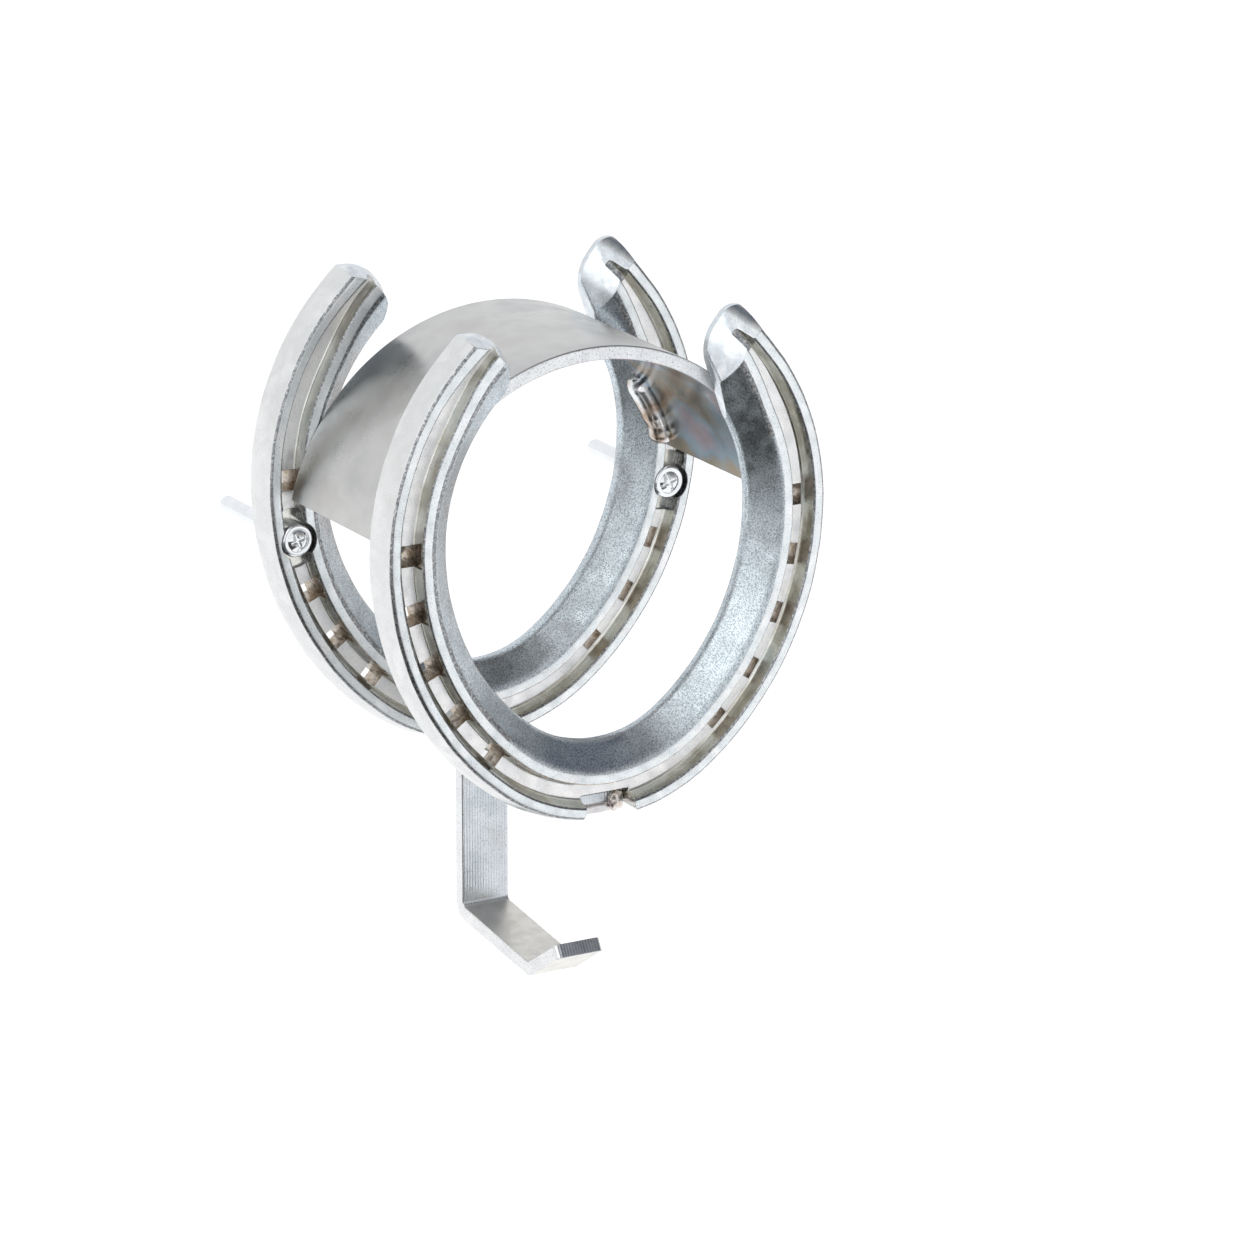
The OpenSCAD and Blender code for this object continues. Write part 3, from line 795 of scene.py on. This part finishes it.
    def heel_tool(self, heel: Heel) -> BMesh:
        """Makes what the grinding takes off a heel: all that lies beyond a rounded, bevelled end.

        Args:
            heel: The end of the branch.

        Returns:
            The tool.
        """
        half = self.bar_w / 2.0
        low, tall = -2.0 * CUT_OVER, self.bar_t + 2.0 * CUT_OVER
        run = heel.bevel_length * (tall - self.heel_land_t) / (self.bar_t - self.heel_land_t)
        back = max(heel.in_r, heel.out_r) + run
        kept = bmesh.new()
        for radius, middle in ((heel.in_r, heel.in_r - half + heel.draw_w),
                               (heel.out_r, half - heel.out_r + heel.flare)):
            for z, behind in ((low, 0.0), (self.heel_land_t, 0.0), (tall, run)):
                bmesh.ops.create_circle(kept, segments=64, radius=radius,
                                        matrix=Matrix.Translation((middle, -radius - behind, z)))
        across, behind, height = heel.ridge
        kept.verts.new((across, -behind, height))
        add_box(kept, (3.0 * half, 2.0 * CUT_OVER, tall - low), (0.0, -back - CUT_OVER, (tall + low) / 2.0))
        hull = bmesh.ops.convex_hull(kept, input=kept.verts[:])
        spare = {item for item in (*hull["geom_interior"], *hull["geom_unused"]) if isinstance(item, BMVert)}
        bmesh.ops.delete(kept, geom=list(spare), context="VERTS")
        block = bmesh.new()
        reach = self.bar_w * 1.5
        add_box(block, (2.0 * reach, reach, self.bar_t + 2.0 * CUT_OVER),
                (0.0, reach / 2.0 - back, self.bar_t / 2.0))
        for source in (kept, block):
            paint(source, Region.GRIND)
        tool = carved(block, kept)
        turn = Matrix.Rotation(math.radians(heel.angle), 4, "Z")
        place = (Matrix.Translation((self.heel_x(heel), 0.0, 0.0)) @ turn
                 @ Matrix.Translation((heel.arc_r - half, 0.0, 0.0)))
        bmesh.ops.transform(tool, matrix=Matrix.Scale(heel.side, 4, (1.0, 0.0, 0.0)) @ place, verts=tool.verts)
        return tool

    def nail_matrix(self, index: int) -> Matrix:
        """Gives the way from a nail hole's own axes to its place in the right branch."""
        x, y, turn = self.nail_place(index)
        return Matrix.Translation((x, y, 0.0)) @ Matrix.Rotation(math.radians(turn), 4, "Z")

    def nail_tool(self, tool: BMesh, index: int) -> None:
        """Adds the punch of one nail hole of the right branch.

        Args:
            tool: The mesh that the punch goes into.
            index: Number of the hole, counted from the heel.
        """
        verts = bmesh.ops.create_cube(tool, size=1.0)["verts"]
        low, high = -CUT_OVER, self.bar_t - self.nail_mouth_t
        for vert in verts:
            above = vert.co.z > 0.0
            width, length = self.nail_size if above else self.nail_exit
            shift = self.nail_shift if above else 0.0
            vert.co = Vector((vert.co.x * width + shift, vert.co.y * length, high if above else low))
        bmesh.ops.transform(tool, matrix=self.nail_matrix(index), verts=verts)
        # The hole's walls get the dark brown painted shade
        for face in {face for vert in verts for face in vert.link_faces}:
            face.material_index = Region.HOLE

    def screw_tool(self) -> BMesh:
        """Makes the cutters of the right wall screw: a bore, a counterbore and a pocket in the groove.

        Returns:
            The tool.
        """
        seat_z, high = self.bar_t - self.seat_t, self.bar_t + CUT_OVER
        tool = bmesh.new()
        for diameter, low, top in ((self.seat_d, seat_z, high), (self.screw_bore_d, -CUT_OVER, seat_z + CUT_OVER),
                                   (self.pocket_length, seat_z, high)):
            verts = bmesh.ops.create_cone(tool, cap_ends=True, segments=64, radius1=diameter / 2.0,
                                          radius2=diameter / 2.0, depth=top - low,
                                          matrix=Matrix.Translation((0.0, 0.0, (low + top) / 2.0)))["verts"]
        for vert in verts:
            vert.co.x = min(max(vert.co.x, -self.pocket_w / 2.0), self.pocket_w / 2.0)
        for face in tool.faces:
            # The bore's and counterbore's walls get the dark edge finish as painted shade; the seats keep the
            # groove finish
            face.material_index = Region.GROOVE if face.normal.z < -0.5 else Region.EDGE
        bmesh.ops.transform(tool, matrix=self.nail_matrix(self.screw_hole), verts=tool.verts)
        return tool

    def notch_tool(self) -> BMesh:
        """Makes the cutter of the notch that seats the strip at the toe.

        Returns:
            The tool.
        """
        tool = bmesh.new()
        low = self.toe_edge_y - CUT_OVER
        add_box(tool, (self.notch_w, self.roof_y - low, self.bar_t + 2.0 * CUT_OVER),
                (0.0, (self.roof_y + low) / 2.0, self.bar_t / 2.0))
        if self.relieved:
            bmesh.ops.bisect_plane(tool, geom=all_geometry(tool), plane_co=(0.0, 0.0, self.notch_seat_t),
                                   plane_no=(0.0, 0.0, 1.0))
            for vert in tool.verts:
                if vert.co.z > self.notch_seat_t and vert.co.y > self.roof_y - CUT_OVER:
                    vert.co.y += (vert.co.z - self.notch_seat_t) * math.tan(math.radians(self.notch_slope))
        paint(tool, Region.GROOVE)
        return tool

    def corner_tool(self, side: float) -> BMesh:
        """Makes the cutter that rounds off the rim where the notch ends it.

        Args:
            side: 1 for the right end, -1 for the left.

        Returns:
            The tool.
        """
        tool = bmesh.new()
        radius, start = self.notch_round, self.notch_w / 2.0
        edge_y = self.toe_edge_y + (start + radius) ** 2 / (2.0 * self.toe_r)
        turns = [math.radians(180.0 + 90.0 * step / 8.0) for step in range(9)]
        outline = [(start + radius + radius * math.cos(turn), edge_y + radius + radius * math.sin(turn))
                   for turn in turns]
        outline += [(start + radius, edge_y - radius), (start - CUT_OVER, edge_y - radius),
                    (start - CUT_OVER, edge_y + radius)]
        face = tool.faces.new([tool.verts.new((side * x, y, -CUT_OVER)) for x, y in outline])
        raised = bmesh.ops.extrude_face_region(tool, geom=[face])["geom"]
        bmesh.ops.translate(tool, vec=(0.0, 0.0, self.bar_t + 2.0 * CUT_OVER),
                            verts=[item for item in raised if isinstance(item, BMVert)])
        paint(tool, Region.SIDE)
        return tool

    def build(self) -> None:
        """Rolls, punches and grinds the shoe."""
        punches = bmesh.new()
        for index in range(self.nail_count):
            if not (self.screwed and index == self.screw_hole):
                self.nail_tool(punches, index)
        tools = [self.heel_tool(RIGHT_HEEL), self.heel_tool(LEFT_HEEL), mirrored(punches), self.notch_tool(),
                 self.corner_tool(-1.0), self.corner_tool(1.0)]
        if self.screwed:
            tools.append(mirrored(self.screw_tool()))
        bm = self.blank()
        for tool in tools:
            bm = carved(bm, tool)
        finishes = [SHOE_FINISHES[region] for region in Region]
        piece(self.node, bm, self.place, finishes)


@dataclass
class CradlePlate:
    """The arched plate between the shoes; lengths are in millimetres."""

    place: Matrix
    radius: float
    width: float
    thickness: float = 4.0
    half_angle: float = 76.5
    edge_reach: float = 0.5
    broad: float = 0.7
    steps: int = 160

    def build(self) -> None:
        """Rolls the plate."""
        bm = bmesh.new()
        inner = self.radius - self.thickness
        start = Matrix.Rotation(math.radians(90.0 - self.half_angle), 4, "Z")
        corners = [(inner, 0.0), (self.radius, 0.0), (self.radius, self.width), (inner, self.width)]
        edges = rounded_outline(bm, [(start @ Vector((r, 0.0, z)), self.edge_reach) for r, z in corners], 3)
        bmesh.ops.edgeloop_fill(bm, edges=edges)
        edges = sweep(bm, edges, (0.0, 0.0, 0.0), (0.0, 0.0, 1.0), 2.0 * self.half_angle, self.steps)
        bmesh.ops.edgeloop_fill(bm, edges=edges)
        bmesh.ops.recalc_face_normals(bm, faces=bm.faces)
        for face in bm.faces:
            middle = face.calc_center_median()
            facing = face.normal.dot(Vector((middle.x, middle.y, 0.0)).normalized())
            inside = Face.INNER if facing < -self.broad else Face.EDGE
            face.material_index = Face.OUTER if facing > self.broad else inside
        piece("cradle_plate", bm, self.place, [PLATE_FINISHES[face] for face in Face])


@dataclass
class ReinHook:
    """The bent strip under the toes; lengths are in millimetres."""

    place: Matrix
    top_y: float
    front_z: float
    width: float = 15.0
    thickness: float = 4.0
    bend_r: float = 1.5
    setback: float = 3.4
    drop: float = 51.4
    shelf_length: float = 38.0
    shelf_dip: float = 8.0
    lip_length: float = 18.5
    lip_angle: float = 32.0
    lip_corner_r: float = 2.0
    edge_reach: float = 0.45
    step_length: float = 4.0
    bend_steps: int = 14
    lip_steps: int = 8
    upright: float = 0.75

    def build(self) -> None:
        """Bends the strip along its four runs."""
        bends = [90.0, 90.0 - self.shelf_dip, self.shelf_dip + self.lip_angle]
        half = [self.bend_r * math.tan(math.radians(turn) / 2.0) for turn in bends]
        outer_r = self.bend_r + self.thickness
        runs = [self.front_z - self.setback - outer_r, self.drop - outer_r - half[1],
                self.shelf_length - half[1] - half[2], self.lip_length - half[2]]
        bm = bmesh.new()
        side, low = self.width / 2.0, self.top_y - self.thickness
        corners = [(-side, low), (side, low), (side, self.top_y), (-side, self.top_y)]
        edges = rounded_outline(bm, [(Vector((x, y, self.front_z)), self.edge_reach) for x, y in corners], 3)
        bmesh.ops.edgeloop_fill(bm, edges=edges)
        axis = (1.0, 0.0, 0.0)
        at, heading = Vector((0.0, low, self.front_z)), Vector((0.0, 0.0, -1.0))
        for index, run in enumerate(runs):
            ending = 0.0 if index < len(bends) else self.lip_corner_r
            steps = max(2, round(run / self.step_length))
            edges = sweep(bm, edges, at, axis, 0.0, steps, heading * (run - ending))
            at = at + heading * run
            if ending > 0.0:
                edges = sweep(bm, edges, at, axis, 0.0, self.lip_steps, heading * ending)
            else:
                inward = heading.cross(Vector(axis))
                centre = at + inward * self.bend_r
                turn = Matrix.Rotation(math.radians(-bends[index]), 3, "X")
                edges = sweep(bm, edges, centre, axis, -bends[index], self.bend_steps)
                at, heading = centre + turn @ (at - centre), turn @ heading
        bmesh.ops.edgeloop_fill(bm, edges=edges)
        for vert in bm.verts:
            short = self.lip_corner_r - (at - vert.co).dot(heading)
            if short > 0.0 and (at - vert.co).length < self.width:
                room = side - self.lip_corner_r + math.sqrt(max(self.lip_corner_r ** 2 - short ** 2, 0.0))
                vert.co.x = min(max(vert.co.x, -room), room)
        bmesh.ops.recalc_face_normals(bm, faces=bm.faces)
        self._paint(bm)
        piece("rein_hook", bm, self.place, [STRIP_FINISHES[face] for face in Face])

    def _paint(self, bm: BMesh) -> None:
        """Sets each face's slot from the way it points: narrow sides get the edge finish, upright faces the darker
        bluish painted shade and flat faces the lighter beige painted light.
        """
        for face in bm.faces:
            facing = face.normal
            flat = Face.INNER if abs(facing.z) > self.upright else Face.OUTER
            face.material_index = Face.EDGE if abs(facing.x) > 0.5 else flat


@dataclass
class Bead:
    """A weld bead laid in a corner; lengths are in millimetres."""

    node: str
    place: Matrix
    leg: float
    ripple: float = 0.03
    ripple_pitch: float = 7.0
    lean_share: float = 0.1
    drift: float = 0.12
    drift_size: float = 5.0
    taper_legs: float = 1.1
    least_taper: float = 0.02
    step_length: float = 0.22
    least_steps: int = 8
    facets: int = 26
    seed: float = 0.0
    fullness: float = 0.78
    finish: ZincAndPaintedLightFinish = WELD_FINISH
    crest: Vector | None = None
    crest_radii: tuple[float, float, float] = (2.4, 3.2, 1.6)
    crest_swell: float = 0.2
    crest_lumps: float = 0.6

    def swell(self, along: float, length: float) -> float:
        """Gives the bead's girth at a place along it.

        Args:
            along: Distance from the start.
            length: Length of the bead.

        Returns:
            The girth, 1 being the plain bead.
        """
        end = min(along, length - along) / (self.taper_legs * self.leg)
        taper = math.sqrt(max(1.0 - (1.0 - min(end, 1.0)) ** 2, self.least_taper))
        wave = self.ripple * math.sin(2.0 * math.pi * along / self.ripple_pitch)
        drift = self.drift * noise.noise(Vector((along / self.drift_size, self.seed, 0.0)))
        return taper * (1.0 + wave + drift)

    def rod(self, place: Matrix, centre: Vector, axis: Sequence[float], turn: float, length: float,
            shift: Sequence[float] = (0.0, 0.0, 0.0)) -> BMesh:
        """Makes the plain round rod that the bead is swelled from.

        Args:
            place: Where the rod starts, its z axis running along the rod.
            centre: A point on the axis that the rod is bent about.
            axis: That axis.
            turn: The rod's whole turn, in degrees.
            length: Length of the rod.
            shift: The rod's whole run along a straight line.

        Returns:
            The rod.
        """
        bm = bmesh.new()
        bmesh.ops.create_circle(bm, segments=self.facets, radius=self.girth(), matrix=place)
        ends = bm.edges[:]
        bmesh.ops.edgeloop_fill(bm, edges=ends)
        steps = max(self.least_steps, round(length / self.step_length))
        ends = sweep(bm, ends, centre, axis, turn, steps, shift)
        bmesh.ops.edgeloop_fill(bm, edges=ends)
        return bm

    def round_arc(self, centre: Vector, radius: float, z: float, start: float, end: float) -> None:
        """Lays the bead along an arc about the z axis.

        Args:
            centre: Centre of the arc.
            radius: Radius of the bead's middle line.
            z: Height of the bead's middle line.
            start: Direction of the start, in degrees.
            end: Direction of the end, in degrees.
        """
        length = math.radians(end - start) * radius
        turn = Matrix.Rotation(math.radians(start), 4, "Z")
        stand = Matrix.Rotation(math.radians(90.0), 4, "X")
        middle = Matrix.Translation((radius, 0.0, z))
        bm = self.rod(Matrix.Translation(centre) @ turn @ middle @ stand, centre, (0.0, 0.0, 1.0), end - start,
                      length)
        for vert in bm.verts:
            flat = Vector((vert.co.x - centre.x, vert.co.y - centre.y, 0.0))
            angle = math.atan2(flat.y, flat.x)
            line = centre + Vector((radius * math.cos(angle), radius * math.sin(angle), z))
            along = (angle - math.radians(start)) * radius
            arm = vert.co - line
            lean = self.lean_share * self.ripple_pitch * arm.z / self.girth()
            vert.co = line + arm * self.swell(min(max(along + lean, 0.0), length), length)
        piece(self.node, bm, self.place, [self.finish], 60.0)

    def straight(self, middle: Vector, length: float) -> None:
        """Lays the bead from left to right.

        Args:
            middle: Middle of the bead.
            length: Length of the bead.
        """
        start = middle - Vector((length / 2.0, 0.0, 0.0))
        stand = Matrix.Rotation(math.radians(90.0), 4, "Y")
        bm = self.rod(Matrix.Translation(start) @ stand, start, (1.0, 0.0, 0.0), 0.0, length, (length, 0.0, 0.0))
        for vert in bm.verts:
            line = Vector((vert.co.x, middle.y, middle.z))
            vert.co = line + (vert.co - line) * self.swell(vert.co.x - start.x, length)
        if self.crest:
            bm = carved(bm, self.burr(self.crest), Joint.FUSE)
        piece(self.node, bm, self.place, [self.finish, CREST_FINISH], 60.0)

    def burr(self, middle: Vector) -> BMesh:
        """Makes the rough crest that a bead ends in.

        Args:
            middle: Middle of the crest.

        Returns:
            The crest.
        """
        bm = bmesh.new()
        bmesh.ops.create_icosphere(bm, subdivisions=4, radius=1.0)
        bmesh.ops.scale(bm, vec=self.crest_radii, verts=bm.verts)
        for vert in bm.verts:
            lump = noise.noise(vert.co * self.crest_lumps)
            vert.co = vert.co * (1.0 + self.crest_swell * lump) + middle
        paint(bm, 1)
        return bm

    def girth(self) -> float:
        """Radius of the round bead whose corner legs are right."""
        return self.leg * self.fullness


@dataclass
class WallScrew:
    """A domed cross-recess screw; lengths are in millimetres, from the wall."""

    node: str
    place: Matrix
    seat_z: float = 5.0
    head_d: float = 9.8
    neck_d: float = 4.4
    shank_d: float = 5.0
    reach: float = 35.0
    tip_t: float = 1.2
    tip_share: float = 0.5
    drive_turn: float = 20.0
    facets: int = 64
    recess: tuple[float, float, float] = (4.4, 0.9, 0.8)
    crown: tuple[Point2, ...] = (
        (0.0, 4.9), (0.25, 4.83), (0.45, 4.55), (0.58, 4.2), (0.64, 4.05), (0.72, 4.15), (0.84, 4.2), (0.93, 4.0),
        (0.99, 3.5), (1.0, 2.8), (1.0, 0.0))

    def build(self) -> None:
        """Turns the screw and sinks its cross recess."""
        head_r, neck_r, shank_r = self.head_d / 2.0, self.neck_d / 2.0, self.shank_d / 2.0
        profile = [(share * head_r, self.seat_z + height) for share, height in self.crown]
        profile += [(neck_r, self.seat_z), (neck_r, 0.0), (shank_r, 0.0), (shank_r, self.tip_t - self.reach),
                    (shank_r * self.tip_share, -self.reach), (0.0, -self.reach)]
        bm = bmesh.new()
        verts = [bm.verts.new((r, 0.0, z)) for r, z in profile]
        edges = [bm.edges.new(pair) for pair in zip(verts, verts[1:])]
        bmesh.ops.spin(bm, geom=[*verts, *edges], cent=(0.0, 0.0, 0.0), axis=(0.0, 0.0, 1.0),
                       angle=math.radians(360.0), steps=self.facets, use_merge=True, use_normal_flip=False,
                       use_duplicate=False)
        bmesh.ops.remove_doubles(bm, verts=bm.verts, dist=0.0005)
        length, width, depth = self.recess
        top = self.seat_z + self.crown[0][1]
        for turn in (0.0, 90.0):
            cross = bmesh.new()
            add_box(cross, (length, width, 2.0 * depth), (0.0, 0.0, 0.0))
            bmesh.ops.transform(cross, verts=cross.verts, matrix=Matrix.Translation((0.0, 0.0, top))
                                @ Matrix.Rotation(math.radians(self.drive_turn + turn), 4, "Z"))
            bm = carved(bm, cross)
        piece(self.node, bm, self.place, [SCREW_FINISH], 40.0)


def matt(name: str, color: Color) -> bpy.types.Material:
    """Builds a plain matt material."""
    material = bpy.data.materials.new(name)
    material.use_nodes = True
    shader = material.node_tree.nodes["Principled BSDF"]
    shader.inputs["Base Color"].default_value = (*color, 1.0)
    shader.inputs["Roughness"].default_value = 0.9
    return material


@dataclass(frozen=True)
class Studio:
    """Pale floor, soft light and a camera at the angle of the picture; lengths are in metres."""

    floor_drop: float = 0.55
    floor_size: float = 40.0
    floor_color: Color = (0.9, 0.9, 0.9)
    floor_glow: float = 0.5
    image_side: int = 1250
    scale: float = 3.63
    azimuth: float = -30.03
    elevation: float = 16.98
    distance: float = 2.0
    target: tuple[float, float, float] = (0.00408, -0.08046, -0.01493)
    sensor: float = 36.0
    dim_side: tuple[float, float, float] = (0.6, -0.3, 0.74)
    room: tuple[tuple[float, Color], ...] = (
        (0.0, (1.0, 1.0, 1.0)), (0.74, (0.96, 0.97, 0.99)), (0.86, (0.46, 0.44, 0.42)), (0.95, (0.17, 0.18, 0.21)))

    def floor(self) -> None:
        """Lays the floor well below the rack."""
        bm = bmesh.new()
        height = CAD_BOUNDS[0].z - self.floor_drop
        bmesh.ops.create_grid(bm, x_segments=8, y_segments=8, size=self.floor_size / 2.0,
                              matrix=Matrix.Translation((0.0, 0.0, height)))
        mesh = mesh_of("studio_floor", bm)
        material = matt("pale_floor", self.floor_color)
        shader = material.node_tree.nodes["Principled BSDF"]
        shader.inputs["Emission Color"].default_value = (*WHITE, 1.0)
        shader.inputs["Emission Strength"].default_value = self.floor_glow
        mesh.materials.append(material)
        obj = shown("studio_floor", mesh)

    def lamp(self, name: str, place: Sequence[float], size: Point2, power: float, color: Color) -> None:
        """Hangs a soft box that faces the rack.

        Args:
            name: The lamp's name.
            place: Where it hangs.
            size: Its width and height.
            power: Its power in watts.
            color: Its colour.
        """
        data = bpy.data.lights.new(name, "AREA")
        data.shape = "RECTANGLE"
        data.size, data.size_y = size
        data.energy = power
        data.color = color
        obj = shown(name, data)
        obj.location = place
        obj.rotation_euler = (Vector(self.target) - Vector(place)).to_track_quat("-Z", "Y").to_euler()
        obj.visible_camera = False

    def world(self) -> None:
        """Surrounds the rack with a bright room that is dim on one side."""
        world = bpy.data.worlds.new("studio_room")
        world.use_nodes = True
        graph = world.node_tree
        facing = graph.nodes.new("ShaderNodeVectorMath")
        facing.operation = "DOT_PRODUCT"
        facing.inputs[1].default_value = self.dim_side
        graph.links.new(graph.nodes.new("ShaderNodeTexCoord").outputs["Generated"], facing.inputs[0])
        across = graph.nodes.new("ShaderNodeMapRange")
        across.inputs["From Min"].default_value = -1.0
        graph.links.new(facing.outputs["Value"], across.inputs["Value"])
        color = color_ramp(graph, across.outputs["Result"], self.room)
        graph.links.new(color, graph.nodes["Background"].inputs["Color"])
        bpy.context.scene.world = world

    def flag(self, name: str, place: Sequence[float], size: Point2, color: Color) -> None:
        """Hangs a dark card that only reflections show.

        Args:
            name: The card's name.
            place: Where it hangs, facing the rack.
            size: Its width and height.
            color: Its colour.
        """
        bm = bmesh.new()
        aim = (Vector(self.target) - Vector(place)).to_track_quat("Z", "Y").to_matrix().to_4x4()
        bmesh.ops.create_grid(bm, x_segments=1, y_segments=1, size=0.5)
        bmesh.ops.scale(bm, vec=(*size, 1.0), verts=bm.verts)
        bmesh.ops.transform(bm, matrix=Matrix.Translation(place) @ aim, verts=bm.verts)
        mesh = mesh_of(name, bm)
        mesh.materials.append(matt(name, color))
        obj = shown(name, mesh)
        obj.visible_camera = obj.visible_diffuse = obj.visible_shadow = False

    def camera(self) -> None:
        """Stands the camera where the picture was taken from."""
        data = bpy.data.cameras.new("picture_camera")
        data.sensor_width = self.sensor
        data.lens = self.scale * self.distance / MM * self.sensor / self.image_side
        data.clip_end = 100.0
        a, e = math.radians(self.azimuth), math.radians(self.elevation)
        back = Vector((math.sin(a) * math.cos(e), -math.cos(a) * math.cos(e), math.sin(e)))
        obj = shown("picture_camera", data)
        obj.location = Vector(self.target) + back * self.distance
        obj.rotation_euler = (-back).to_track_quat("-Z", "Y").to_euler()
        bpy.context.scene.camera = obj

    def build(self) -> None:
        """Sets up the floor, the light and the camera."""
        self.floor()
        self.world()
        self.lamp("left_box", place=(-1.3, -0.9, 0.9), size=(1.4, 1.4), power=4.0, color=(1.0, 0.99, 0.97))
        self.flag("low_flag", place=(-0.2, -0.28, -0.26), size=(0.75, 0.4), color=(0.08, 0.075, 0.07))
        self.flag("right_flag", place=(0.9, 0.68, -0.3), size=(0.7, 0.5), color=(0.42, 0.30, 0.24))
        bpy.context.scene.view_settings.view_transform = "Standard"
        self.camera()


@dataclass(frozen=True)
class Rack:
    """The welded rack and its screws; lengths are in millimetres.

    The plate's beads lie a share of their leg inside the corner. The seam's and the crest's places are measured
    from the strip and the front shoe, and the fill's from the roof of the rear notch and from the wall.
    """

    plate_inset: float = 5.8
    plate_leg: float = 3.4
    plate_sink: float = 0.25
    plate_fullness: float = 1.15
    plate_arcs: tuple[tuple[str, float, float], ...] = (("right", 15.0, 37.0), ("left", 143.0, 165.0))
    seam_leg: float = 2.6
    seam_out: float = 0.6
    crest_x: float = 5.6
    crest_drop: float = 0.3
    crest_out: float = 0.9
    fill_leg: float = 5.0
    fill_drop: float = 2.1
    fill_z: float = 6.0

    def build(self) -> None:
        """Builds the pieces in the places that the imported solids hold."""
        noise.seed_set(NOISE_SEED)
        rear_low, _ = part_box("rear_shoe")
        front_low, front_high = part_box("front_shoe")
        plate_low, plate_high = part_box("cradle_plate")
        strip_low, strip_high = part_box("rein_hook")
        rear = Shoe("rear_shoe", Matrix.Identity(4), relieved=False, screwed=True)
        wall = WallFrame(rear_low.z / MM - rear.toe_edge_y)
        rear.place = wall.placed()
        front_z = -front_high.y / MM
        fall = (front_low.z - rear_low.z) / MM
        front = Shoe("front_shoe", wall.placed(fall, front_z), relieved=True, screwed=False)
        for shoe in (rear, front):
            shoe.build()

        plate_radius = front.quarter_x + front.quarter_r - self.plate_inset
        plate_y = plate_high.z / MM - wall.rise - plate_radius
        rear_face = -plate_high.y / MM
        plate = CradlePlate(wall.placed(plate_y, rear_face), plate_radius, (plate_high.y - plate_low.y) / MM)
        plate.build()
        hook = ReinHook(wall.placed(), strip_high.z / MM - wall.rise, -strip_low.y / MM)
        hook.build()

        self.weld_plate(plate)
        crest = Vector((self.crest_x, hook.top_y - hook.thickness / 2.0 - self.crest_drop,
                        hook.front_z + self.crest_out))
        seam = Bead("front_hook_weld", wall.placed(), self.seam_leg, ripple=0.02, seed=11.0, finish=SEAM_FINISH,
                    crest=crest)
        seam.straight(Vector((0.0, hook.top_y - hook.thickness, front_z + self.seam_out)), front.notch_w)
        fill = Bead("rear_hook_weld", wall.placed(), self.fill_leg, seed=17.0)
        fill.straight(Vector((0.0, rear.roof_y - self.fill_drop, self.fill_z)), front.notch_w)
        across, up, _ = rear.nail_place(rear.screw_hole)
        for node, side in (("left_screw", -1.0), ("right_screw", 1.0)):
            WallScrew(node, wall.placed() @ Matrix.Translation((side * across, up, 0.0))).build()

    def weld_plate(self, plate: CradlePlate) -> None:
        """Lays the four beads under the plate.

        Args:
            plate: The plate.
        """
        leg, sink = self.plate_leg, self.plate_sink * self.plate_leg
        radius = plate.radius - plate.thickness - sink
        for index, (side, start, end) in enumerate(self.plate_arcs):
            for depth, z in (("rear", sink), ("front", plate.width - sink)):
                bead = Bead(f"{depth}_{side}_weld", plate.place, leg, seed=3.0 * index + z,
                            fullness=self.plate_fullness)
                bead.round_arc(Vector((0.0, 0.0, 0.0)), radius, z, start, end)


def main() -> None:
    """Builds the rack and its studio."""
    logging.basicConfig(level=logging.INFO, format="%(name)s: %(message)s")
    Rack().build()
    Studio().build()


if __name__ == "__main__":
    main()
